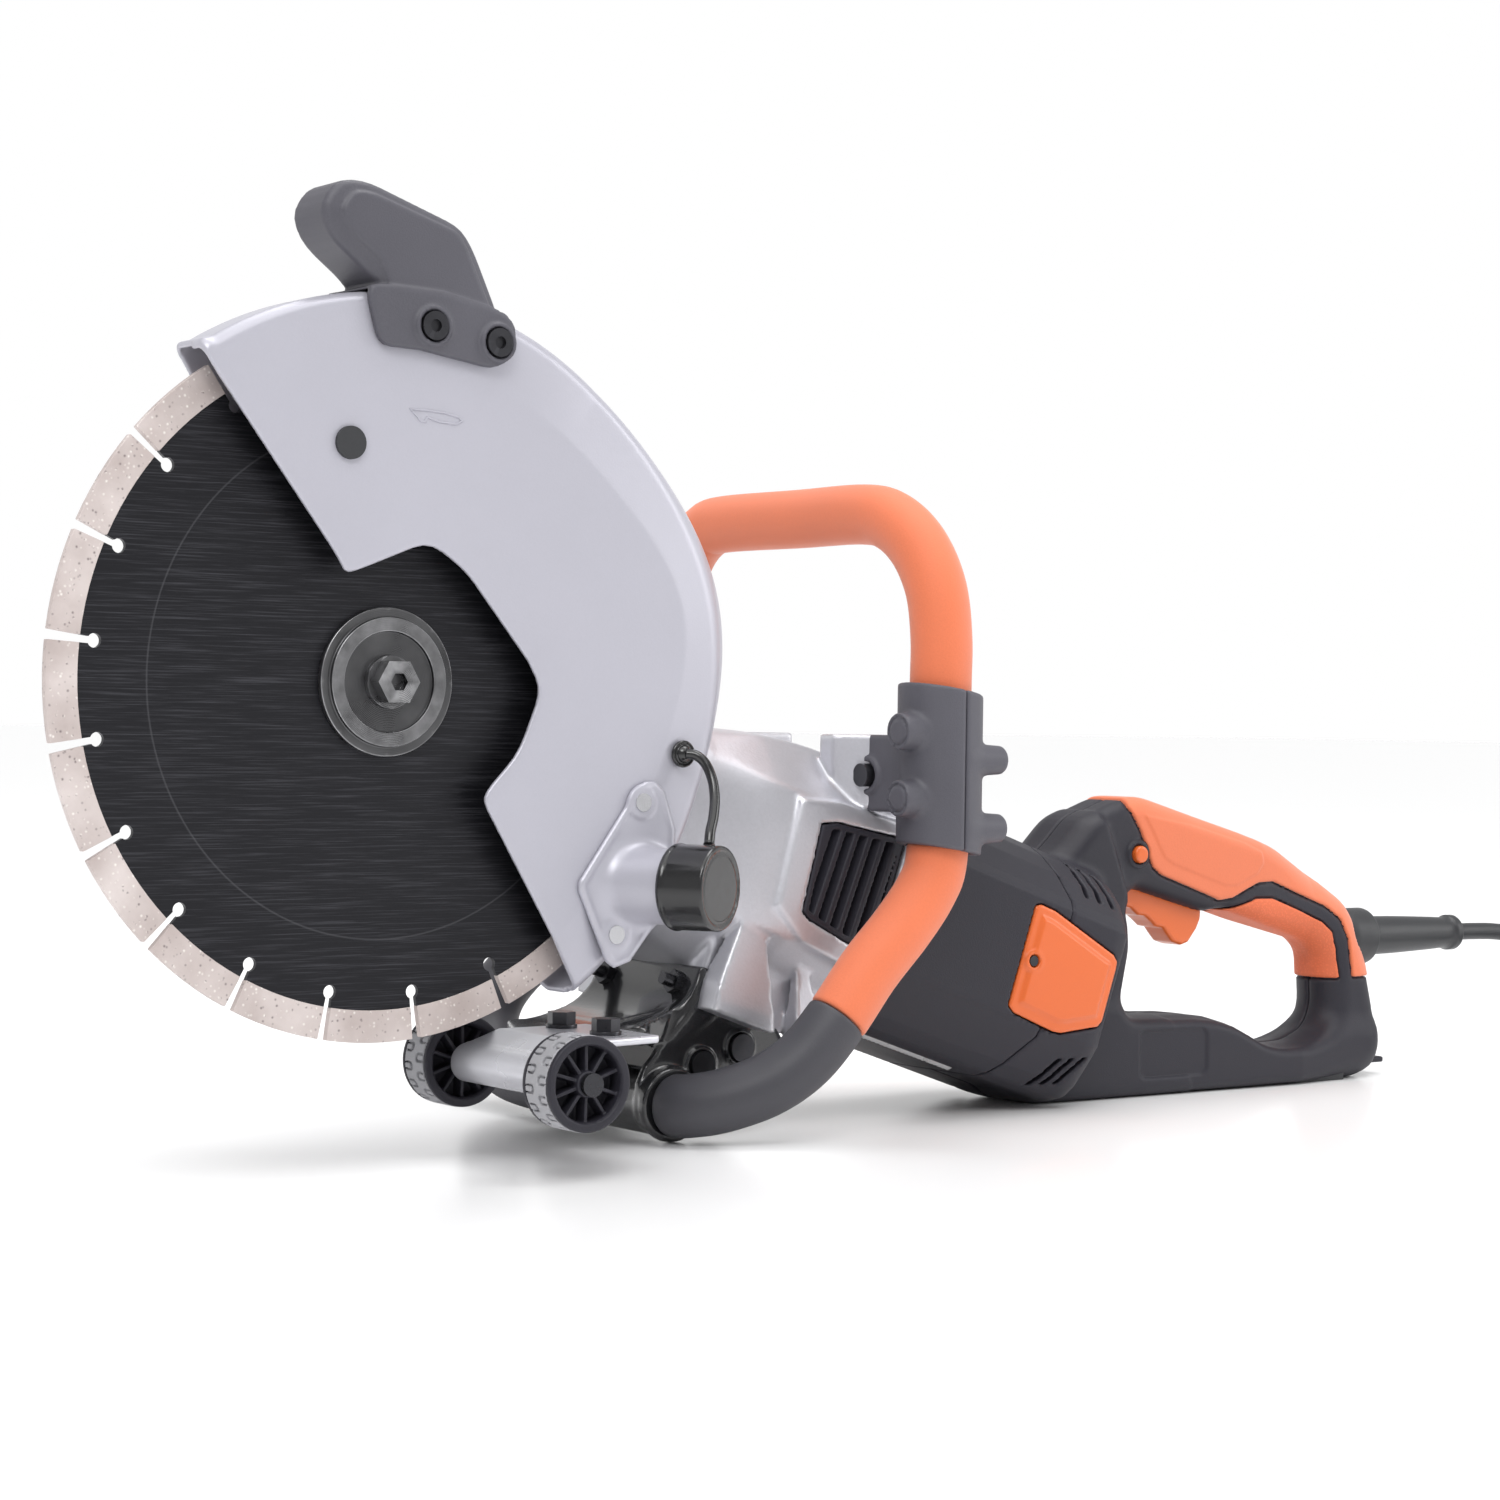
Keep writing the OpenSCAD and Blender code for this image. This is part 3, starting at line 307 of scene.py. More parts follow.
def make_materials():
    black = (0.022, 0.021, 0.029)
    orange = (0.72, 0.165, 0.07)
    steel = (0.55, 0.55, 0.57)
    return {
        "cast_alloy": finish("cast_alloy", (0.55, 0.55, 0.59), 0.4, 0.6, 700.0, 0.08, 0.06, wear=0.3),
        "turned_alloy": finish("turned_alloy", (0.62, 0.62, 0.64), 0.32, 0.95, 500.0, 0.02, 0.06),
        "bearing_steel": finish("bearing_steel", steel, 0.2, 1.0, 300.0, 0.01, 0.05),
        "black_plastic": finish("black_plastic", black, 0.52, 0.0, 1500.0, 0.09, 0.14, 0.32, wear=0.2),
        "grey_plastic": finish("grey_plastic", (0.082, 0.08, 0.096), 0.5, 0.0, 1500.0, 0.09, 0.12, 0.42,
                               wear=0.1),
        "stator_steel": finish("stator_steel", (0.25, 0.26, 0.28), 0.45, 0.9, 400.0, 0.05),
        "copper_wire": finish("copper_wire", (0.62, 0.27, 0.12), 0.3, 0.9, 500.0, 0.2),
        "brass": finish("brass", (0.70, 0.52, 0.24), 0.28, 1.0, 400.0, 0.02),
        "carbon": finish("carbon", (0.03, 0.03, 0.03), 0.5, 0.1, 800.0, 0.03),
        "orange_plastic": finish("orange_plastic", (0.69, 0.13, 0.022), 0.36, 0.0, 1500.0, 0.03, 0.05,
                                 coat=0.15),
        "orange_rubber": ridged_rubber("orange_rubber", orange),
        "orange_foam": finish("orange_foam", (0.71, 0.178, 0.078), 0.6, 0.0, 1100.0, 0.08, 0.06, 0.3,
                              sheen=0.25),
        "black_rubber": finish("black_rubber", (0.030, 0.031, 0.034), 0.5, 0.0, 1100.0, 0.05, 0.12, 0.4),
        "sleeve_rubber": finish("sleeve_rubber", (0.056, 0.055, 0.064), 0.5, 0.0, 1100.0, 0.06, 0.1, 0.4),
        "black_steel": finish("black_steel", (0.018, 0.018, 0.02), 0.2, 0.0, 500.0, 0.05, 0.15, 0.6,
                              coat=0.5, wear=0.3),
        "black_screws": finish("black_screws", (0.045, 0.045, 0.05), 0.32, 0.85, 400.0, 0.03, wear=0.8),
        "plain_steel": finish("plain_steel", steel, 0.28, 1.0, 500.0, 0.02, wear=0.5),
        "turned_steel": turned_steel("turned_steel"),
        "blade_steel": blade_steel(),
        "sintered_rim": sintered_metal(),
        "guard_paint": finish("guard_paint", (0.445, 0.44, 0.495), 0.34, 0.2, 1300.0, 0.03, 0.025,
                              0.5, spread=0.04),
        "cap_plastic": finish("cap_plastic", (0.012, 0.012, 0.013), 0.22, 0.0, 300.0, 0.02, 0.1, coat=0.3),
        "tyre_rubber": finish("tyre_rubber", (0.36, 0.36, 0.38), 0.55, 0.0, 900.0, 0.06, 0.1, 0.4),
        "cord_rubber": finish("cord_rubber", (0.028, 0.029, 0.032), 0.45, 0.0, 900.0, 0.04, 0.1, 0.45),
        "pale_label": finish("pale_label", (0.60, 0.60, 0.61), 0.3, 0.3, 60.0, 0.0, 0.04),
        "zinc_plate": finish("zinc_plate", (0.58, 0.58, 0.62), 0.3, 0.5, 60.0, 0.0, 0.04),
    }


# ---------------------------------------------------------------- curves and sweeps

def smooth_curve(points, steps):
    """A Catmull-Rom curve through the points."""
    p = [np.array(q, float) for q in points]
    out = []
    for i in range(len(p) - 1):
        a, b, c, d = p[max(i - 1, 0)], p[i], p[i + 1], p[min(i + 2, len(p) - 1)]
        for k in range(steps):
            s = k / steps
            out.append(0.5 * (2 * b + (c - a) * s + (2 * a - 5 * b + 4 * c - d) * s ** 2
                              + (3 * b - 3 * c + d - a) * s ** 3))
    return np.array(out + [p[-1]])


def new_piece(name, points, faces, body, material, nodes=(), smooth=True):
    """A mesh of points given about the arbor in millimetres, riding on a CAD body."""
    mesh = bpy.data.meshes.new(name)
    mesh.from_pydata((np.asarray(points, float) * MM + np.array(ARBOR)).tolist(), [], faces)
    mesh.polygons.foreach_set("use_smooth", [smooth] * len(mesh.polygons))
    mesh.update()
    piece = bpy.data.objects.new(name, mesh)
    bpy.context.scene.collection.objects.link(piece)
    mesh.materials.append(MATERIALS[material])
    if body:
        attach(piece, body)
    if nodes:
        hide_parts(*nodes)
    return piece


def tube_mesh(path, radii, sides, start=(0, 0, 1)):
    """Points and faces of a round tube with closed ends, its radius given per ring."""
    path = np.asarray(path, float)
    along = np.gradient(path, axis=0)
    along /= np.linalg.norm(along, axis=1)[:, None]
    normal = np.array(start, float)
    angles = np.linspace(0, 2 * math.pi, sides, endpoint=False)
    points = []
    for p, t, r in zip(path, along, radii):
        normal = normal - t * normal.dot(t)
        normal /= np.linalg.norm(normal)
        across = np.cross(t, normal)
        points += [p + r * (math.cos(a) * normal - math.sin(a) * across) for a in angles]
    faces = []
    for i in range(len(path) - 1):
        low, high = i * sides, (i + 1) * sides
        for k in range(sides):
            n = (k + 1) % sides
            faces.append((low + k, high + k, high + n, low + n))
    last = (len(path) - 1) * sides
    faces.append(tuple(range(sides)))
    faces.append(tuple(last + k for k in reversed(range(sides))))
    return points, faces


# ---------------------------------------------------------------- cord

CORD_D = 9.6
EXIT_Z = -130
CORD_ROUTE = [
    (-700, -82, -130), (-720, -82, -130), (-742, -82, -130), (-764, -82, -130), (-785, -82, -131),
    (-804, -82, -134), (-822, -82, -141), (-838, -82, -152), (-852, -82, -165), (-867, -82, -179),
    (-885, -82, -191), (-906, -82, -199),
]
PLUG_ROUTE = [(-926, 60, -182), (-914, 66, -188), (-904, 69.4, -194.4), (-895, 70, -197), (-886, 70, -197)]
COIL_AT = (-928, -13.6)
COIL_RADII = (68.2, 58.6, 49.0, 39.4)
COIL_LOW = 2.0


def coil_points():
    """The coil's turns: inward on the floor, outward on top of them, then out to the plug."""
    layer = [FLOOR + COIL_LOW + CORD_D / 2 + k * CORD_D for k in range(3)]
    wound = [(r, layer[0]) for r in COIL_RADII] + [(r, layer[1]) for r in reversed(COIL_RADII)]
    wound += [(COIL_RADII[2], layer[2]), (COIL_RADII[1], layer[2])]
    out = []
    steps = 24
    for turn, (r, z) in enumerate(wound):
        ahead_r, ahead_z = wound[min(turn + 1, len(wound) - 1)]
        for k in range(steps):
            share = max(0.0, (k / steps - 0.72) / 0.28)
            s = share * share * (3 - 2 * share)
            angle = -math.pi / 2 - 2 * math.pi * k / steps
            radius = r + (ahead_r - r) * s
            height = z + (ahead_z - z) * min(1.0, 1.6 * s)
            out.append((COIL_AT[0] + radius * math.cos(angle), COIL_AT[1] + radius * math.sin(angle),
                        height))
    for k in range(14):
        angle = -math.pi / 2 - math.pi * k / 14
        radius = COIL_RADII[1] + (COIL_RADII[0] + 1 - COIL_RADII[1]) * min(1.0, k / 8)
        out.append((COIL_AT[0] + radius * math.cos(angle), COIL_AT[1] + radius * math.sin(angle), layer[2]))
    return out


def make_cord():
    points = CORD_ROUTE + coil_points() + PLUG_ROUTE
    data = bpy.data.curves.new("mains_cord", "CURVE")
    data.dimensions = "3D"
    data.bevel_depth = CORD_D / 2 * MM
    data.bevel_resolution = 5
    data.resolution_u = 4
    data.use_fill_caps = True
    spline = data.splines.new("BEZIER")
    spline.bezier_points.add(len(points) - 1)
    for target, point in zip(spline.bezier_points, points):
        target.co = at(*point)
        target.handle_left_type = target.handle_right_type = "AUTO"
    cord = bpy.data.objects.new("mains_cord", data)
    bpy.context.scene.collection.objects.link(cord)
    data.materials.append(MATERIALS["cord_rubber"])
    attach(cord, "machine")
    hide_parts("cord", "cord_coil")
    boot = make_boot()


def make_boot():
    """The tapered strain relief, with a flared end."""
    profile = [(-640, 9.0), (-641, 10.6), (-648, 10.8), (-648.3, 15.2), (-649, 15.8), (-668.6, 15.8),
               (-669.6, 15.5), (-670, 14.8), (-670.4, 11.6), (-671.5, 10.9), (-690, 10.6), (-700, 10.3),
               (-725, 9.3), (-736, 8.7), (-738.5, 9.2), (-740, 10.0), (-744, 10.0), (-745, 9.4),
               (-745.2, 5.2), (-742, 4.95)]
    path = [x for x, _ in profile]
    radii = [r for _, r in profile]
    fine_path, fine_radii = [], []
    for i in range(len(path) - 1):
        for s in (0.0, 0.33, 0.67):
            fine_path.append(path[i] + (path[i + 1] - path[i]) * s)
            fine_radii.append(radii[i] + (radii[i + 1] - radii[i]) * s)
    sides = 48
    angles = np.linspace(0, 2 * math.pi, sides, endpoint=False)
    points = [(x, MOTOR_Y + r * math.cos(a), EXIT_Z + r * math.sin(a))
              for x, r in zip(fine_path, fine_radii) for a in angles]
    faces = []
    for i in range(len(fine_path) - 1):
        low, high = i * sides, (i + 1) * sides
        for k in range(sides):
            n = (k + 1) % sides
            faces.append((low + k, low + n, high + n, high + k))
    faces.append(tuple(range(sides))[::-1])
    return new_piece("cable_boot_moulded", points, faces, "machine", "cord_rubber", ["cable_boot"])


MATERIALS = make_materials()
make_camera()
make_stage()
make_cord()


# ---------------------------------------------------------------- solid shapes from distances

def length2(a, b):
    return np.sqrt(a * a + b * b)


def off(u, v, place):
    """The distance from an axis at place, seen along it."""
    return length2(u - place[0], v - place[1])


def cut(shape, tool):
    """The shape without what lies in the tool."""
    return np.maximum(shape, -tool)


def join(a, b, k):
    """The smooth union of two distances, blended over k millimetres."""
    h = np.clip(0.5 + 0.5 * (b - a) / k, 0, 1)
    return b + (a - b) * h - k * h * (1 - h)


def meet(a, b, k):
    return -join(-a, -b, k)


def rounded(a, b, r):
    """The solid where both a and b are negative, its edge rounded by r."""
    a, b = a + r, b + r
    return np.minimum(np.maximum(a, b), 0) + length2(np.maximum(a, 0), np.maximum(b, 0)) - r


def eased(outline, reach):
    """An outline with its corners rounded off, starting reach millimetres before each corner."""
    out = []
    n = len(outline)
    for i in range(n):
        b = np.array(outline[i], float)
        u, v = np.array(outline[i - 1], float) - b, np.array(outline[(i + 1) % n], float) - b
        lu, lv = np.linalg.norm(u), np.linalg.norm(v)
        turn = u.dot(v) / (lu * lv)
        if turn < -0.985:
            out.append(tuple(b))
            continue
        p, q = b + u / lu * min(reach, 0.45 * lu), b + v / lv * min(reach, 0.45 * lv)
        out += [tuple((1 - s) ** 2 * p + 2 * s * (1 - s) * b + s * s * q) for s in (0, 0.33, 0.67, 1)]
    return out


def polygon(u, v, outline):
    """The signed distance to an outline."""
    points = np.array(outline, float)
    near = np.full(np.broadcast(u, v).shape, 1e9)
    inside = np.zeros(near.shape, bool)
    for (ax, ay), (bx, by) in zip(points, np.roll(points, -1, axis=0)):
        dx, dy = bx - ax, by - ay
        s = np.clip(((u - ax) * dx + (v - ay) * dy) / (dx * dx + dy * dy), 0, 1)
        near = np.minimum(near, (u - ax - s * dx) ** 2 + (v - ay - s * dy) ** 2)
        crosses = (ay > v) != (by > v)
        if dy:
            inside ^= crosses & (u < ax + (v - ay) * dx / dy)
    return np.where(inside, -1, 1) * np.sqrt(near)


def slab(d, w, low, high, r):
    """A flat shape d, extruded along w from low to high, with edges rounded by r."""
    return rounded(d, np.abs(w - (low + high) / 2) - (high - low) / 2, r)


def block(x, y, z, low, high, r=1.0):
    middle, half = [(a + b) / 2 for a, b in zip(low, high)], [(b - a) / 2 for a, b in zip(low, high)]
    q = [np.abs(p - m) - h + r for p, m, h in zip((x, y, z), middle, half)]
    outside = np.sqrt(sum(np.maximum(a, 0) ** 2 for a in q))
    return outside + np.minimum(np.maximum(np.maximum(q[0], q[1]), q[2]), 0) - r


def nets(d):
    """Vertices (in cells) and quads of the surface where d = 0."""
    cells = np.array(d.shape) - 1
    count = np.zeros(cells.prod())
    total = np.zeros((cells.prod(), 3))
    edges = []
    for a in range(3):
        b, c = (a + 1) % 3, (a + 2) % 3
        low = [slice(None)] * 3
        high = [slice(None)] * 3
        low[a], high[a] = slice(0, -1), slice(1, None)
        d0, d1 = d[tuple(low)], d[tuple(high)]
        crossing = np.argwhere((d0 < 0) != (d1 < 0))
        v0, v1 = d0[tuple(crossing.T)], d1[tuple(crossing.T)]
        where = crossing.astype(float)
        where[:, a] += v0 / (v0 - v1)
        ring = []
        for ob, oc in ((-1, -1), (0, -1), (0, 0), (-1, 0)):
            cell = crossing.copy()
            cell[:, b] += ob
            cell[:, c] += oc
            ok = ((cell >= 0) & (cell < cells)).all(axis=1)
            flat = np.where(ok, np.ravel_multi_index(np.clip(cell, 0, cells - 1).T, cells), -1)
            ring.append(flat)
            count += np.bincount(flat[ok], minlength=len(count))
            for i in range(3):
                total[:, i] += np.bincount(flat[ok], where[ok, i], minlength=len(count))
        ring = np.array(ring).T
        ring = np.where((v0 < 0)[:, None], ring, ring[:, ::-1])
        edges.append(ring[(ring >= 0).all(axis=1)])
    used = np.flatnonzero(count)
    number = np.full(len(count), -1)
    number[used] = np.arange(len(used))
    return total[used] / count[used, None], number[np.concatenate(edges)]


def solid(name, field, low, high, cell, body, material, nodes=(), keep=1.0):
    """The surface of field(x, y, z) = 0 between two corners, as a piece with a share of its faces."""
    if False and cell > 1.2:
        cell = cell * 1.2
    low = np.array(low, float) - 0.37 * cell
    axes = [np.arange(l, h + 2 * cell, cell) for l, h in zip(low, high)]
    values = field(*np.meshgrid(*axes, indexing="ij", sparse=True))
    points, quads = nets(values)
    points = low + points * cell
    for _ in range(2):
        x, y, z = points.T
        e = 0.05 * cell
        slope = np.stack([
            field(x + e, y, z) - field(x - e, y, z),
            field(x, y + e, z) - field(x, y - e, z),
            field(x, y, z + e) - field(x, y, z - e),
        ], axis=1) / (2 * e)
        step = field(x, y, z)[:, None] * slope / np.maximum((slope ** 2).sum(axis=1), 0.2)[:, None]
        points -= np.clip(step, -0.4 * cell, 0.4 * cell)
    piece = new_piece(name, points, quads.tolist(), body, material, nodes)
    if keep < 1:
        piece.modifiers.new("fewer_faces", "DECIMATE").ratio = keep
    return piece


def to_motor(x, y, z):
    """Coordinates along the motor axis, across it and up from it."""
    return x * TILT_X + z * TILT_Z, y - MOTOR_Y, z * TILT_X - x * TILT_Z


def sections(x, table):
    """Linearly interpolated columns of a table whose first column is x."""
    table = np.asarray(table)[np.argsort(np.asarray(table)[:, 0])]
    return [np.interp(x, table[:, 0], table[:, i]) for i in range(1, table.shape[1])]


# ---------------------------------------------------------------- guard

GUARD_R = 160.5
GUARD_BULGE = 13
GUARD_HALF = 15
GUARD_T = 2.4
NEAR_EDGE = eased([(98, 145), (88, 126), (29, 50), (26, 44), (21, 45), (-13, 58.5), (-31, 47), (-62, 10),
                   (-69, -2), (-58, -29), (-40.5, -47), (-43, -53), (-108, -160), (-300, -160), (-300, 260),
                   (60, 260)], 8)
FAR_EDGE = eased([(98, 145), (82, 122), (44, 34), (52, -6), (30, -42), (2, -70), (-40, -90), (-108, -160),
                  (-300, -160), (-300, 260), (60, 260)], 8)
RIM_EDGE = [(98, 145), (0, 0), (-108, -160), (-300, -160), (-300, 260), (60, 260)]


def rim_radius(x, z):
    """The guard's outside radius and the size of its edge, at a point's angle."""
    angle = np.degrees(np.arctan2(z, x)) % 360
    bulge = np.exp(-((angle - 167) / 20) ** 2)
    lip = 1.3 * np.exp(-((angle - 56.4) / 0.9) ** 2)
    return GUARD_R + GUARD_BULGE * bulge + lip, 6 + 9 * bulge


def near_slope(x, z, rim):
    """How far the blade-side face of the guard falls away near the rim's rear."""
    angle = np.degrees(np.arctan2(z, x)) % 360
    share = np.clip((angle - 108) / 20, 0, 1)
    return 0.13 * share * np.maximum(length2(x, z) - rim + 29, 0)


def guard_field(x, y, z):
    radius = length2(x, z)
    rim, edge = rim_radius(x, z)
    width = np.maximum(y + near_slope(x, z, rim), -y) - GUARD_HALF
    outer = rounded_by(radius - rim, width, edge)
    inner = rounded_by(radius - rim + GUARD_T, width + GUARD_T, edge - GUARD_T)
    sheet = np.maximum(outer, -inner)
    near, far, rim_cut = (polygon(x, z, edge) for edge in (NEAR_EDGE, FAR_EDGE, RIM_EDGE))
    keep = np.where(y > 4, near, np.where(y < -4, np.maximum(far, rim_cut), rim_cut))
    sheet = rounded(sheet, keep + 0 * sheet, 0.9)
    collar = slab(radius - 46, y, -23, -12.6, 1.5)
    sheet = join(sheet, collar, 3)
    return np.maximum(sheet, slab(radius - 36.1, y, -40, 10, 0) * -1)


def rounded_by(a, b, r):
    """Like rounded(), for an edge radius that changes from place to place."""
    return rounded(a, b, np.maximum(r, 0.5))


def make_guard():
    solid("guard_pressing", guard_field, (-178, -25, -142), (108, 17, 166), 1.05, "guard", "guard_paint",
          ["guard_shell"], keep=0.45)
    arrow = [(-2.9, 112.5), (-12.2, 112.5), (-19.3, 112), (-25.7, 110.7), (-27.5, 109.2), (-24.7, 107.7),
             (-17, 108.2), (-12.9, 109), (-11, 109.7), (-9.9, 107.7), (-8, 107.8)]
    make_outline("guard_arrow", arrow, 15.0, 1.0, 0.5, "guard", "guard_paint")


def make_outline(name, outline, y, width, height, body, material):
    """A thin raised line that follows a closed outline on a face square to Y."""
    points, faces = [], []
    n = len(outline)
    for i in range(n):
        b = np.array(outline[i], float)
        a, c = np.array(outline[i - 1], float), np.array(outline[(i + 1) % n], float)
        u, v = (b - a) / np.linalg.norm(b - a), (c - b) / np.linalg.norm(c - b)
        normal = np.array((-u[1] - v[1], u[0] + v[0]))
        normal /= max(0.5, normal.dot((-u[1], u[0])))
        for offset, lift in ((-0.5, -0.1), (-0.25, 1.0), (0.25, 1.0), (0.5, -0.1)):
            p = b + normal * offset * width
            points.append((p[0], y + lift * height, p[1]))
    for i in range(n):
        a, b = i * 4, (i + 1) % n * 4
        for k in range(3):
            faces.append((a + k, b + k, b + k + 1, a + k + 1))
        faces.append((a + 3, b + 3, b, a))
    return new_piece(name, points, faces, body, material, smooth=False)


GRIP_EDGE = eased([(8, 158), (14, 165), (34, 180), (39, 192), (31, 204), (18, 204.5), (-26, 190),
                   (-33, 181), (-46, 153), (-42, 146), (0, 150)], 7)
GRIP_PANEL = eased([(13, 173), (24, 180.5), (31, 191), (25, 199.6), (16, 199.2), (-24, 187), (-28, 181),
                    (-39.5, 157), (-44, 146), (6, 150), (9.5, 166)], 4)
SADDLE_EDGE = eased([(20, 161), (13.5, 137.4), (-6, 136.8), (-42, 131.4), (-51, 139), (-51.5, 152),
                     (-41, 156), (-16, 160.6), (8, 161.3)], 6)
GRIP_SCREWS = [(-11, 147), (-42, 142.5)]


def grip_field(x, y, z):
    radius = length2(x, z)
    edge = polygon(x, z, GRIP_EDGE)
    panel = polygon(x, z, GRIP_PANEL)
    across = np.abs(y)
    half = 15.8 + 1.4 * np.clip(0.5 - panel / 1.4, 0, 1) - 2.2 * np.clip(panel / 7, 0, 1)
    upper = rounded(edge, across - half, 2.2)
    upper = np.maximum(upper, 161 - radius)
    saddle_edge = polygon(x, z, SADDLE_EDGE)
    saddle = slab(saddle_edge, across, 15.2, 19, 1.3)
    hoop = rounded(np.maximum(radius - 166, 161.4 - radius),
                   np.maximum(across - 18.6, saddle_edge - 1), 1.2)
    shape = join(join(upper, saddle, 2), hoop, 2)
    for u, w in GRIP_SCREWS:
        from_screw = length2(x - u, z - w)
        shape = join(shape, slab(from_screw - 8.4, across, 16, 21, 1), 1.5)
        shape = cut(shape, slab(from_screw - 6.7, across, 18.2, 25, 0.3))
    return shape


def make_guard_grip():
    solid("guard_grip_moulding", grip_field, (-56, -22, 129), (41, 22, 208), 1.15, "guard", "grey_plastic",
          ["guard_grip"])


# ---------------------------------------------------------------- dust port and cap

PORT_AT = (-117, -86)
PORT_TURN = math.radians(27)
PORT_PLATE = [(-121, -41), (-117, -43), (-110, -53), (-87.5, -84), (-87.5, -88), (-102, -119),
              (-106, -121.5), (-114, -119), (-136, -92), (-137, -62), (-131, -45), (-126, -41)]
PORT_SCREWS = [(-119, -50), (-106, -107)]
TETHER_AT = (-141, -29)


def to_port(x, y, z):
    """Coordinates across the dust port and along its axis, and the distance from that axis."""
    u, v = x - PORT_AT[0], y - GUARD_HALF
    across = u * math.cos(PORT_TURN) + v * math.sin(PORT_TURN)
    along = v * math.cos(PORT_TURN) - u * math.sin(PORT_TURN)
    return along, length2(across, z - PORT_AT[1])


def port_field(x, y, z):
    along, radius = to_port(x, y, z)
    edge = polygon(x, z, PORT_PLATE)
    rise = 1.2 * np.clip(1 - np.abs(edge + 2.2) / 1.6, 0, 1)
    plate = rounded(edge, np.abs(y - 16.2) - 1.1 - 0.5 * rise, 0.8)
    spigot = slab(radius - 16.5, along, -14, 38, 0.8)
    shape = join(plate, spigot, 6)
    for u, w in PORT_SCREWS:
        shape = join(shape, slab(length2(x - u, z - w) - 7, y, 15.2, 17.8, 0.8), 2)
    shape = cut(shape, slab(radius - 14.3, along, -30, 60, 0))
    return np.maximum(shape, 15.1 - y)


def cap_field(x, y, z):
    along, radius = to_port(x, y, z)
    shape = slab(radius - 18.5, along, 20, 42.5, 1.1)
    shape = cut(shape, slab(radius - 16.3, along, 42, 50, 0.5))
    shape = np.minimum(shape, slab(radius - 15.4, along, 30, 42.3, 0.8))
    shape = cut(shape, slab(radius - 16.56, along, 0, 39.5, 0.5))
    bead = length2(radius - 18.1, along - 22) - 0.9
    return join(shape, bead, 0.8)


def make_port():
    solid("dust_port_cast", port_field, (-152, 14, -123), (-84, 56, -39), 1.0, "guard", "guard_paint",
          ["dust_port"])
    solid("dust_cap_moulded", cap_field, (-162, 24, -106), (-102, 66, -66), 0.9, "port_cap", "cap_plastic",
          ["dust_cap"])
    strap = smooth_curve([(-141, 18.6, -29), (-144, 21.5, -29.5), (-147, 24.5, -33), (-148.4, 28, -40),
                          (-147, 32, -48), (-143.6, 36, -56), (-140, 39, -62), (-138, 41, -67.6)], 6)
    points, faces = tube_mesh(strap, [2.3] * (len(strap) - 1) + [2.6], 16, (1, 0, 0))
    tether = new_piece("cap_strap", points, faces, None, "cap_plastic", ["cap_tether"])
    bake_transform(tether)

    def button(x, y, z):
        radius = off(x, z, TETHER_AT)
        ring = slab(radius - 6, y, 15, 17.2, 1)
        dome = np.sqrt(radius ** 2 + (y - 15.5) ** 2) - 4.2
        groove = length2(radius - 4.4, y - 17.4) - 0.7
        return np.maximum(join(ring, dome, 0.6), -groove)

    solid("cap_strap_button", button, (-148, 14, -36), (-134, 21, -22), 0.55, "guard", "cap_plastic")


# ---------------------------------------------------------------- gearbox and grilles

GEAR_SEAM = -312
GEAR_SECTIONS = [(-330, 59, 60, -60, 4.5), (GEAR_SEAM, 59, 60, -60, 4.5), (-285, 59, 61, -61, 4.2),
                 (-255, 58, 61, -61, 3.8), (-228, 54, 58, -60, 3.4), (-200, 47, 52, -55, 2.8),
                 (-150, 39, 46, -48, 2.2), (-70, 36, 44, -45, 1.9), (20, 36, 44, -44, 1.9)]
GEAR_CREASE = [(-330, 65.5), (-285, 65), (-255, 64), (-228, 60), (-200, 54), (-150, 50), (20, 60)]
FOOT_BLOCK = [(-226, -44), (-226, -76), (-272, -78), (-304, -62), (-304, -44)]
GUSSET = [(-233, -20), (-240, -20), (-262, -78), (-225, -77.5), (-225, -64)]
REAR_GUSSET = [(-270, -40), (-276, -40), (-296, -70), (-290, -75), (-280, -78)]
GRILLE = [(-254, 22), (-262, 25.5), (-300, 30.5), (-304, 29), (-304, -23), (-300, -26), (-285, -26),
          (-262, -22.5), (-257, -20)]
GRILLE_PAD = [(-240, 30), (-262, 35), (-330, 40), (-330, -34), (-288, -37), (-262, -33), (-243, -22)]


def loft(a, s, h, table):
    """The distance from a body whose section changes along a: half width, top, bottom, squareness."""
    half, top, bottom, power = sections(a, smooth_curve(table, 8))
    middle, tall = (top + bottom) / 2, (top - bottom) / 2
    q = (np.abs(s / half) ** power + np.abs((h - middle) / tall) ** power) ** (1 / power)
    return (q - 1) * np.minimum(half, tall)


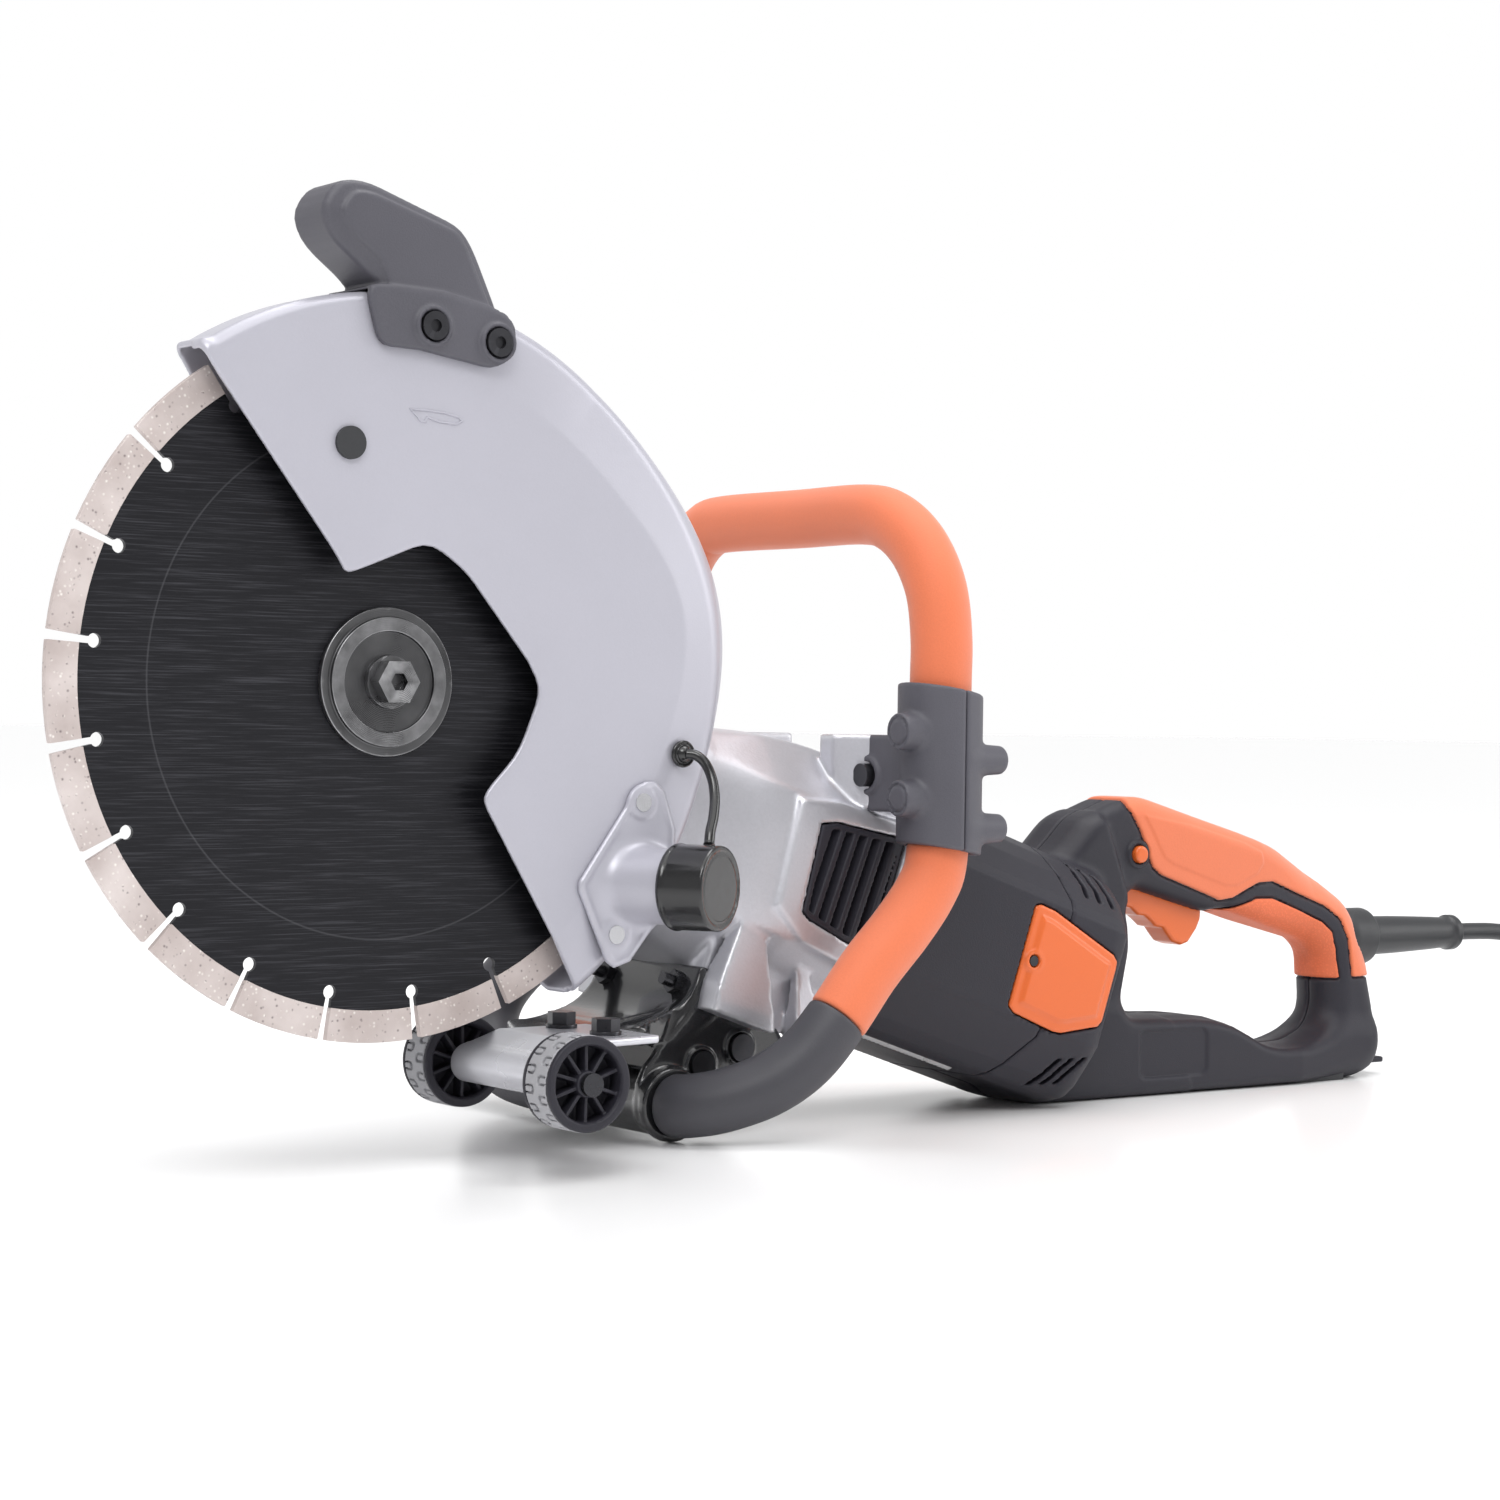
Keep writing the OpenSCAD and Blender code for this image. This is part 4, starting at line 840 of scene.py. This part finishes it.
def gearbox_field(x, y, z):
    a, s, h = to_motor(x, y, z)
    across = np.abs(s)
    radius = length2(x, z)
    body = np.maximum(loft(a, s, h, GEAR_SECTIONS), GEAR_SEAM - a)
    crease, = sections(a, GEAR_CREASE)
    body = meet(body, (across + np.abs(h)) * 0.7071 - crease, 1.2)
    head = slab(radius - 50, s, -42, 36, 7)
    shape = join(body, head, 14)
    foot = slab(polygon(a, h, FOOT_BLOCK), s, -40, 40, 2.5)
    shape = join(shape, foot, 4)
    for outline, place, low, grow in ((GUSSET, 49, 22, 0.15), (REAR_GUSSET, 46, 40, 0.12)):
        half = 1.5 + grow * np.clip(-h - low, 0, 50)
        rib = np.maximum(polygon(a, h, outline), (np.abs(across - place) - half) * 0.96)
        shape = join(shape, rib, 2.5)
    pad = rounded(polygon(a, h, GRILLE_PAD), (across - 61) * 0.97 + 0.04 * (a + 300), 2)
    shape = join(shape, np.maximum(pad, 40 - across), 3)
    frame_edge = polygon(a, h, GRILLE)
    shape = cut(shape, np.maximum(frame_edge - 0.3, 50 - across))
    lug = block(x, across, z, (-300, 36, -60), (-262, 68.6, -20), 1.5)
    lug = meet(lug, (x + 262) * 0.75 + (across - 46) * 0.66, 1)
    lug = meet(lug, (across - 50) * 0.66 - (z + 62) * 0.75, 1)
    shape = join(shape, lug, 2.5)
    shape = cut(shape, slab(length2(s, h) - 52, a, -330, -238, 2))
    shape = cut(shape, slab(radius - 41, s, -32, 40, 2))
    return np.maximum(shape, GEAR_SEAM - a)


def grille_field(x, y, z):
    a, s, h = to_motor(x, y, z)
    across = np.abs(s)
    edge = polygon(a, h, GRILLE)
    plate = rounded(edge + 0.4, np.abs(across - 55.4) - 4, 0.9)
    inset = edge + 3.2
    for k in range(6):
        centre = -262 - 8 * k + (59 - across) * 0.35 - 0.05 * (h - 2)
        slot = np.maximum(np.abs(a - centre) - 2.5, inset)
        plate = np.maximum(plate, -slot)
    return plate


def make_gearbox():
    solid("gearbox_casting", gearbox_field, (-328, -146, -170), (54, -11, 58), 1.6, "machine", "cast_alloy",
          ["gearbox_housing"])
    solid("air_grille_mouldings", grille_field, (-305, -143, -128), (-234, -21, -56), 0.95, "machine",
          "black_plastic", ["air_grilles"])


# ---------------------------------------------------------------- motor housing

BARREL_TOP = [(59, 0), (59, 31), (57.6, 33), (56.4, 36), (48, 47), (38, 55), (28, 59.6), (20, 60)]
BARREL_LOW = [(59, -29), (57.8, -31), (56.6, -34.6), (49, -51), (43, -57.5), (35, -60), (20, -60)]
BARREL = BARREL_TOP + [(-s, h) for s, h in reversed(BARREL_TOP)]
BARREL += [(-s, h) for s, h in BARREL_LOW] + list(reversed(BARREL_LOW))
COVER = [(-393, 26), (-396, 27.8), (-406, 27.5), (-450, 18.5), (-453.5, 16), (-454, 12), (-454, -15),
         (-452, -18.5), (-430, -28.2), (-425, -29), (-397, -27.4), (-393, -25)]
COVER_SCREW = (-400, 0)


def barrel_field(a, s, h):
    return polygon(s + 0 * h, h + 0 * s, BARREL)


def seam_at(h):
    """Where the motor housing meets the handle: farther back along the sides."""
    share = np.clip((58 - np.abs(h)) / 24, 0, 1)
    return -404 - 13 * share


def cover_pocket(a, s, h):
    return -np.maximum(polygon(a, h, COVER) - 0.7, 56.4 - np.abs(s))


def motor_field(x, y, z):
    a, s, h = to_motor(x, y, z)
    shape = meet(barrel_field(a, s, h), np.maximum(a - GEAR_SEAM + 0.3, seam_at(h) - a), 1.2)
    shape = np.maximum(shape, cover_pocket(a, s, h))
    return np.maximum(shape, -(length2(s, h) - 54))


def covers_field(x, y, z):
    a, s, h = to_motor(x, y, z)
    across = np.abs(s)
    edge = polygon(a, h, COVER)
    panel = np.clip(-(edge + 4.4) / 2.4, 0, 1)
    shape = rounded(edge, np.abs(across - 58) - 1.3 - 1.4 * panel, 0.9)
    from_screw = off(a, h, COVER_SCREW)
    shape = join(shape, slab(from_screw - 5.6, across, 57, 60.6, 0.9), 1.2)
    return cut(shape, slab(from_screw - 3.3, across, 57.9, 70, 0.3))


def make_motor():
    solid("motor_housing_moulding", motor_field, (-415, -143, -192), (-276, -21, -36), 1.4, "machine",
          "black_plastic", ["motor_housing"])
    solid("brush_cover_mouldings", covers_field, (-440, -144, -185), (-362, -20, -102), 1.0, "machine",
          "orange_plastic", ["brush_covers"])

    def strip(x, y, z):
        a, s, h = to_motor(x, y, z)
        u, v = (s - 36.5) * 0.83 + (h + 56) * 0.55, (h + 56) * 0.83 - (s - 36.5) * 0.55
        plate = np.maximum(np.abs(u) - 9, np.abs(a + 358) - 33)
        return rounded(plate, np.abs(v + 0.3) - 0.7, 0.4)

    solid("plain_plate", strip, (-400, -60, -190), (-290, -30, -150), 0.9, "machine", "pale_label")


# ---------------------------------------------------------------- rear handle

BODY_END = -463
HANDLE_EDGE = eased([(-412, -92), (-433, -78), (-449, -62.5), (-477, -52.4), (-490, -52), (-530, -63),
                     (-560, -71), (-589, -79.5), (-628, -99), (-646, -109.5), (-653, -119), (-664, -144),
                     (-671, -170), (-672.5, -190), (-667, -202), (-655, -205.8), (-420, -205.8),
                     (-395, -200), (-390, -140)], 6)
HAND_HOLE = eased([(-476, -110), (-480, -103), (-486, -99), (-536, -112.5), (-552, -111), (-578, -118.5),
                   (-618, -129.5), (-628, -138), (-630, -166), (-624, -180), (-608, -187), (-588, -187.5),
                   (-574, -184.5), (-563, -179), (-551, -173.5), (-538, -170), (-524, -168.5), (-480, -167),
                   (-474, -164), (-473, -158), (-479, -130), (-478, -118)], 5)
BAR_EDGE = eased([(-400, -150), (-470, -160), (-474, -165), (-480, -167), (-524, -168.5), (-538, -170),
                  (-551, -173.5), (-563, -179), (-574, -184.5), (-588, -187.5), (-608, -187), (-622, -182),
                  (-632, -176), (-650, -172), (-670, -176), (-672.5, -190), (-667, -202), (-655, -205.8),
                  (-420, -205.8), (-395, -200)], 6)
UPPER_PATCH = [(-480, -30), (-478, -52), (-477, -57), (-480, -61.7), (-485, -69), (-490, -80), (-494, -88),
               (-500, -92.2), (-522, -99.5), (-543, -106.6), (-552, -105.4), (-562, -101), (-571, -97.6),
               (-582, -97.2), (-602, -104), (-624, -111.6), (-635.6, -118.7), (-642, -130), (-645.5, -151),
               (-700, -151), (-700, -30)]
LOWER_PATCH = [(-540, -112), (-556, -110.7), (-570, -105.8), (-582, -106), (-602, -112.5), (-622, -119.7),
               (-630, -125.4), (-634.4, -135), (-637.5, -151.6), (-598, -151.6), (-598, -133), (-560, -126)]
GRIP_PANEL_LINE = [(-487, -60.5), (-492, -68), (-498, -78), (-501.5, -83), (-508, -86.5), (-546, -98.4),
                   (-554, -98.4), (-569, -92.5), (-573.5, -87), (-572.5, -81), (-560, -76), (-520, -66)]
BAR_PANEL = [(-481, -174), (-483.6, -172.6), (-526.5, -172.6), (-529, -176), (-529, -194), (-526, -197),
             (-484, -197), (-481, -194.5)]
TRIGGER_POCKET = [(-473, -112), (-473, -84), (-500, -84), (-543, -99), (-543, -118)]
LOCK_AT = (-483, -81)


def boot_room(x, s, z):
    """The bore that holds the cable boot's flange."""
    return slab(length2(s, z - EXIT_Z) - 16.1, x, -700, -648, 0.3)


def grip_body(x, s, z):
    """The D of the handle, without the motor's barrel."""
    ring = np.maximum(polygon(x, z, HANDLE_EDGE), -polygon(x, z, HAND_HOLE))
    rear = np.clip((-575 - x) / 40, 0, 1)
    half = 19.5 - 1.5 * rear
    core = slab(ring, s, -half, half, 9.5 + 6.5 * rear)
    taper = np.clip((-600 - x) / 60, 0, 1)
    bar = slab(polygon(x, z, BAR_EDGE), s, -26 + 6 * taper, 26 - 6 * taper, 5 + 9 * taper)
    neck = slab(ring + 2 + 0 * x, s, -23.5, 23.5, 7)
    neck = np.maximum(neck, -460 - x + (z + 70) * 0.4)
    return join(join(core, bar, 7), neck, 7)


def handle_field(x, y, z):
    a, s, h = to_motor(x, y, z)
    across = np.abs(s)
    barrel = meet(barrel_field(a, s, h), BODY_END - a, 16)
    barrel = np.maximum(barrel, a - seam_at(h) + 0.5)
    barrel = np.maximum(barrel, -(slab(length2(s, h) - 52, a, -444.5, -380, 1)))
    grip = np.maximum(grip_body(x, s, z), a - seam_at(h) + 0.5)
    shape = join(barrel, grip, 6)
    for patch in (UPPER_PATCH, LOWER_PATCH):
        groove = np.abs(polygon(x, z, patch)) - 0.7
        shape = cut(shape, np.maximum(groove, -(grip + 1.6)))
    shape = np.maximum(shape, cover_pocket(a, s, h))
    shape = cut(shape, np.maximum(polygon(x, z, BAR_PANEL), 25.2 - across))
    lock = off(x, z, LOCK_AT)
    shape = join(shape, slab(lock - 7.4, across, 10, 21.4, 1), 1)
    shape = cut(shape, slab(lock - 5, s, 2.4, 30, 0.4))
    shape = cut(shape, slab(polygon(x, z, TRIGGER_POCKET), s, -9.6, 9.6, 0.5))
    for k in range(3):
        top = -424 - 9 * k
        slot = polygon(a, h, [(top, 57), (top - 3.6, 57), (top - 7.6, 41), (top - 4, 41)])
        shape = cut(shape, np.maximum(slot, 26 - across))
        low = -387 - 7.2 * k
        slot = polygon(x, z, [(low, -193), (low - 13, -180), (low - 16.4, -180), (low - 3.6, -193)])
        shape = cut(shape, np.maximum(slot, 40 - across))
    shape = cut(shape, boot_room(x, s, z))
    flap = block(x, s, z, (-681, -9, -200.5), (-664, 9, -197.2), 0.9)
    return join(shape, flap, 2)


def handle_half(side):
    return lambda x, y, z: rounded(handle_field(x, y, z), 0.25 - side * (y - MOTOR_Y), 1.5)


def patch_field(outline, panel=None):
    def field(x, y, z):
        a, s, h = to_motor(x, y, z)
        skin = grip_body(x, s, z) - 0.9
        if panel:
            rise = np.clip(0.5 - polygon(x, z, panel) / 1.2, 0, 1)
            skin = skin - 0.55 * rise * np.clip((np.abs(s) - 12) / 4, 0, 1)
        shape = rounded(skin, polygon(x, z, outline) + 0.3 + 0 * s, 1.0)
        shape = np.maximum(shape, -(grip_body(x, s, z) + 2.2))
        lock = off(x, z, LOCK_AT)
        shape = cut(shape, boot_room(x, s, z))
        return cut(shape, slab(lock - 8.2, np.abs(s), 5, 30, 0))
    return field


def make_handle():
    for side, name in ((1, "left"), (-1, "right")):
        low, high = ((MOTOR_Y, MOTOR_Y + 62) if side > 0 else (MOTOR_Y - 62, MOTOR_Y))
        solid("handle_" + name + "_moulding", handle_half(side),
              (-684, low - 1, -207), (-358, high + 1, -48), 1.35,
              "machine", "black_plastic", ["handle_half_" + name])
    solid("grip_rubber_upper", patch_field(UPPER_PATCH, GRIP_PANEL_LINE),
          (-688, -106, -156), (-455, -58, -48), 1.0,
          "machine", "orange_foam", ["grip_overmould"])
    solid("grip_rubber_lower", patch_field(LOWER_PATCH), (-646, -106, -156), (-534, -58, -100),
          1.0, "machine", "orange_rubber")

    def trigger(x, y, z):
        s = y - MOTOR_Y
        edge = polygon(x, z, [(-479, -88.8), (-495, -88.8), (-503, -99), (-534, -109), (-540, -112),
                              (-539.5, -117), (-537, -122), (-531, -129), (-526, -130.4), (-520, -128.6),
                              (-516, -124.5), (-513, -121), (-508, -120.2), (-504, -117), (-500, -114.4),
                              (-495, -113.6), (-490, -110), (-479, -107)])
        return slab(edge, s, -8.7, 8.7, 2.2)

    solid("trigger_moulding", trigger, (-543, -92, -133), (-477, -72, -86), 0.9,
          "trigger", "orange_plastic", ["trigger"])

    def button(x, y, z):
        s = y - MOTOR_Y
        return slab(off(x, z, LOCK_AT) - 4.5, s, 7, 23.6, 1.5)

    solid("lock_button_moulding", button, (-489, -76, -87), (-477, -57, -75), 0.6, "lock_button",
          "orange_plastic", ["lock_button"])


# ---------------------------------------------------------------- loop handle

LOOP_X = -292
LOOP_LOW = [(-172, -62, -190), (-172, -32, -190), (-176, -21, -189), (-186, -11, -186), (-203, -2, -179),
            (-219, 4, -167.5), (-234, 8, -149.5), (-252, 8, -128), (-271, 8, -109), (-285, 8, -92),
            (-291, 8, -77), (-292, 8, -40), (-292, 8, 3)]
NEAR_Y, FAR_Y, TOP_Z = 8, -212, 86
NEAR_BEND, FAR_BEND = 60, 43
LOOP_FAR_LOW = [(-172, -102, -190), (-172, -132, -190), (-172, -154, -190), (-172, -176, -187.5),
                (-174, -196, -180), (-179, -208, -167), (-190, -212, -149), (-216, -212, -127),
                (-248, -212, -109), (-279, -212, -93), (-291, -212, -77), (-292, -212, -40),
                (-292, -212, 3)]


def loop_points():
    quarter = [math.radians(22.5 * k) for k in range(5)]
    near = [(LOOP_X, NEAR_Y - NEAR_BEND * (1 - math.cos(a)), TOP_Z - NEAR_BEND * (1 - math.sin(a)))
            for a in quarter]
    away = [(LOOP_X, FAR_Y + FAR_BEND * (1 - math.sin(a)), TOP_Z - FAR_BEND * (1 - math.cos(a)))
            for a in quarter]
    return LOOP_LOW + near + [(LOOP_X, -105, TOP_Z)] + away + LOOP_FAR_LOW[::-1]


def make_sleeve(name, first, last, material, nodes):
    steps = 10
    path = smooth_curve(loop_points(), steps)[round(first * steps):round(last * steps) + 1]
    gap = np.linalg.norm(np.diff(path, axis=0), axis=1)
    along = np.concatenate([[0], np.cumsum(gap)])
    ends = [0, 0.3, 0.8, 1.5, 2.4]
    between = list(np.arange(4, along[-1] - 3.9, 2.6))
    spots = np.array(ends + between + [along[-1] - e for e in reversed(ends)])
    path = np.stack([np.interp(spots, along, path[:, i]) for i in range(3)], axis=1)
    from_end = np.minimum(spots, along[-1] - spots)
    dip = np.clip(1 - from_end / 1.8, 0, 1)
    radii = 14.5 - 1.8 * (1 - np.sqrt(1 - dip ** 2))
    points, faces = tube_mesh(path, radii, 48, (1, 0, 0))
    return new_piece(name, points, faces, "machine", material, nodes)


CLAMP_SLANT = 0.17


def clamp_field(front):
    sign = 1 if front else -1

    def field(x, y, z):
        near = y + 0 * z > -100
        across = np.where(near, y - NEAR_Y, y - FAR_Y)
        u = x - LOOP_X
        slant = z - CLAMP_SLANT * u
        shape = slab(length2(u, across) - 20, slant, -73, 1.6, 1.3)
        for place, shift, forward in ((-18, 3, True), (-49, 3, True), (-31, 11, False), (-63, 11, False)):
            if forward != front:
                continue
            radius = length2(across - shift, z - place)
            size = 9.4 if forward else 7.6
            boss = slab(radius - size + 0.06 * (sign * u - 12), sign * u, 2, 28, 1.8)
            ring = np.abs(radius - size + 3) - 0.6
            boss = cut(boss, np.maximum(ring, 27 - sign * u))
            shape = join(shape, boss, 2.5)
        if front:
            arm = block(x, y, z, (-285, -31, -56), (-274, 0, -20), 1.6)
            far_arm = block(x, y, z, (-285, -206, -56), (-274, -130, -20), 1.6)
            shape = join(shape, np.minimum(arm, far_arm), 3)
            for place in (-23, -141):
                bolt = length2(y - place, z + 39)
                shape = join(shape, slab(bolt - 9.2, x, -280, -272.4, 1), 1.5)
                shape = cut(shape, slab(bolt - 6.6, x, -274, -260, 0.3))
        shape = rounded(shape, 0.35 - sign * u, 1)
        bore = np.where((z > -5.5) | (z < -66.5), 14.8, 10.95)
        return np.maximum(shape, bore - length2(u, across))
    return field


def make_loop():
    last = len(loop_points()) - 1
    make_sleeve("loop_sleeve_near", 1, 6, "sleeve_rubber", ["loop_sleeves"])
    make_sleeve("loop_sleeve_far", last - 7, last - 1, "sleeve_rubber", ())
    make_sleeve("loop_grip_near", 6, 10.2, "orange_foam", ["loop_grips"])
    make_sleeve("loop_grip_top", 11.8, last - 11.8, "orange_foam", ())
    make_sleeve("loop_grip_far", last - 10.2, last - 7, "orange_foam", ())
    for front, name in ((True, "front"), (False, "rear")):
        low, high = ((LOOP_X - 1, LOOP_X + 29) if front else (LOOP_X - 29, LOOP_X + 1))
        for side, y in (("near", (-34, 30)), ("far", (-234, -128))):
            replaced = ["loop_clamps_" + name] if side == "near" else ()
            solid("loop_clamp_" + name + "_" + side, clamp_field(front),
                  (low, y[0], -78), (high, y[1], 4), 1.1,
                  "machine", "grey_plastic", replaced)


# ---------------------------------------------------------------- front bracket and wheels

SOCKET = (-172, -190)
SIDE_PLATE = [(-190, -142), (-196, -142.5), (-234, -158.5), (-237, -163), (-231, -184), (-227, -188),
              (-200, -202.5), (-192, -204), (-163, -201), (-158, -197), (-156, -180), (-160, -172)]
SHELF = [(-196, -122), (-196, -44), (-162, -44), (-138, 8), (-134, 14.5), (-100, 14.5), (-98, 10),
         (-98, -50), (-102, -56), (-130, -110), (-136, -114)]
RIB = [(-192, -150), (-186, -145), (-132, -157), (-132, -161), (-196, -160)]
SHELF_BOLTS = [(-113, -36), (-113, 0)]
SIDE_BOLTS = [(-190, -173), (-212, -166)]
CARRIER_PLAN = [(-133, -50), (-133, 13), (-100, 18), (-86, 36), (-50, 36), (-50, -50)]
AXLE = (-70, -166)


def bracket_field(x, y, z):
    a, s, h = to_motor(x, y, z)
    across = np.abs(s)
    from_socket = off(x, z, SOCKET)
    shape = slab(from_socket - 15, across, -1, 47, 1)
    shape = join(shape, slab(from_socket - 17, across, 45, 50, 1.4), 1)
    side = slab(polygon(x, z, SIDE_PLATE), across, 40.4, 44, 1)
    shape = join(shape, side, 4)
    sag = -160 + 13 * np.clip((-142 - x) / 46, 0, 1) ** 1.6
    shelf = slab(polygon(x, y, SHELF) + 0 * z, z + 0 * y, sag, sag + 4, 1)
    shape = join(shape, shelf, 5)
    flange = slab(np.maximum(across - 42, np.abs(h + 71) - 12.5), a, -225.8, -222.4, 1)
    shape = join(shape, flange, 3)
    web = slab(polygon(x, z, [(-197, -130), (-190, -136), (-170, -156), (-158, -158), (-158, -163),
                              (-176, -163), (-200, -148)]), s, -40, 42, 1.5)
    shape = join(shape, web, 6)
    for place, slant in ((-49, -0.28), (-43, 0.38)):
        rib = np.maximum(polygon(x, z, RIB), np.abs(y - place - slant * (x + 178)) - 1.7)
        shape = join(shape, rib, 2.5)
    for u, v in SHELF_BOLTS:
        shape = join(shape, slab(length2(x - u, y - v) - 9, z, -158, -153.6, 1), 3)
        shape = np.maximum(shape, 4.1 - length2(x - u, y - v))
    for u, w in SIDE_BOLTS:
        radius = length2(x - u, z - w)
        shape = join(shape, slab(radius - 8.4, across, 41, 46, 1), 1.5)
        shape = cut(shape, slab(radius - 6.8, across, 44, 50, 0))
    return np.maximum(shape, 10.9 - from_socket + np.where(across < 51, 0, 99))


def carrier_field(x, y, z):
    radius = off(x, z, AXLE)
    roll = np.maximum(radius - 8.6, 5 - radius)
    top = polygon(x, z, [(-133, -155.6), (-133, -152), (-86, -152), (-74, -156), (-70, -157.5), (-72, -162),
                         (-80, -160), (-88, -155.6)])
    profile = join(top, roll, 1.5)
    profile = np.maximum(profile, -polygon(x, z, [(-84, -157), (-60, -166), (-92, -170)]) - 6)
    shape = slab(profile, y, -45.8, 32.6, 0.9)
    shape = meet(shape, polygon(x, y, CARRIER_PLAN), 1.5)
    for u, v in SHELF_BOLTS:
        shape = np.maximum(shape, 4.1 - length2(x - u, y - v))
    return np.maximum(shape, 3.06 - radius)


def make_bracket():
    solid("bracket_pressing", bracket_field, (-241, -134, -208), (-96, 16, -127), 1.15, "machine",
          "black_steel", ["front_bracket"])
    solid("wheel_carrier_pressing", carrier_field, (-135, -47, -176), (-60, 34, -150), 1.0, "machine",
          "zinc_plate", ["wheel_carrier"])


def make_wheel(side, low):
    width = 21
    middle = low + width / 2

    def polar(x, z):
        u, w = x - AXLE[0], z - AXLE[1]
        return length2(u, w), np.arctan2(w, u)

    def hub(x, y, z):
        radius, angle = polar(x, z)
        t = np.abs(y - middle)
        rim = rounded(np.abs(radius - 18.35) - 1.85, t - 10.5, 0.7)
        rim = cut(rim, rounded(18.2 - radius, t - 7.9, 0.3))
        barrel = slab(np.abs(radius - 17) - 1, y, low + 1, low + width - 1, 0.3)
        centre = slab(radius - 5.6, y, low + 0.6, low + width - 0.6, 0.8)
        web = slab(radius - 17, y, middle - 1, middle + 1, 0)
        turn = (angle / (2 * math.pi / 10)) % 1 - 0.5
        spoke = np.abs(turn * (2 * math.pi / 10) * radius) - 0.75
        spoke = rounded(np.maximum(spoke, radius - 17), t - 8.2 + 0.06 * (radius - 5), 0.3)
        shape = join(np.minimum(np.minimum(rim, barrel), web), np.minimum(centre, spoke), 0.8)
        return np.maximum(shape, 3.08 - radius)

    def tyre(x, y, z):
        radius, angle = polar(x, z)
        t = np.abs(y - middle)
        shape = rounded(np.maximum(radius - 20.4, 17.9 - radius), t - 7.8, 0.6)
        count = 15
        for row in (-1, 1):
            turn = (angle * count / (2 * math.pi) + (0.25 if row > 0 else -0.25)) % 1 - 0.5
            arc = turn * 2 * math.pi / count * radius
            along = row * (y - middle)
            pocket = length2(arc, np.maximum(np.abs(along - 4.6) - 1.3, 0)) - 2.1
            tongue = length2(arc, np.maximum(np.abs(along - 6.6) - 2.4, 0)) - 1.15
            shape = cut(shape, np.maximum(np.maximum(pocket, -tongue), 18.9 - radius))
        return shape

    box_low = (AXLE[0] - 21.5, low - 1, AXLE[1] - 21.5)
    box_high = (AXLE[0] + 21.5, low + width + 1, AXLE[1] + 21.5)
    solid("hub_moulding_" + side, hub, box_low, box_high, 0.62, "wheel_" + side, "black_plastic",
          ["wheel_hub_" + side])
    solid("tyre_tread_" + side, tyre, box_low, box_high, 0.55, "wheel_" + side, "tyre_rubber",
          ["tyre_" + side])


# ---------------------------------------------------------------- the CAD nodes that show

NODE_MATERIALS = {
    "flange_outer": "turned_steel", "arbor_bolt": "turned_steel", "guard_plug": "black_rubber",
    "wheel_axle": "black_screws", "port_rivets": "bearing_steel",
}
EDGE_MM = {
    "flange_outer": 0.5, "arbor_bolt": 0.5, "bracket_fasteners": 0.8, "grip_screws": 0.4, "guard_plug": 0.5,
    "clamp_bolts": 0.6, "port_rivets": 0.4, "wheel_axle": 1.0, "blade_segments": 0.25, "bearing_cover": 0.5,
    "housing_screws": 0.4, "foot_pad": 0.5, "plug_body": 1.2, "plug_pins": 0.5, "cord_tie": 0.6,
    "flange_inner": 0.4,
}


def dress_nodes():
    """Gives each CAD node the material of its slot, and soft edges where it shows."""
    slots = {part["node"]: part["material_slot"] for part in frame["record"]["subparts"]}
    for name, piece in frame["nodes"].items():
        piece.data.materials.clear()
        piece.data.materials.append(MATERIALS[NODE_MATERIALS.get(name, slots[name])])
    for name, width in EDGE_MM.items():
        weld = frame["nodes"][name].modifiers.new("weld", "WELD")
        weld.merge_threshold = 0.00001
        bevel = frame["nodes"][name].modifiers.new("edges", "BEVEL")
        bevel.width = width * MM
        bevel.segments = 2
        bevel.limit_method = "ANGLE"
        bevel.angle_limit = math.radians(40)
        bevel.harden_normals = True


make_guard()
make_guard_grip()
make_port()
make_gearbox()
make_motor()
make_handle()
make_loop()
make_bracket()
make_wheel("near", 33.3)
make_wheel("far", -67.5)
dress_nodes()
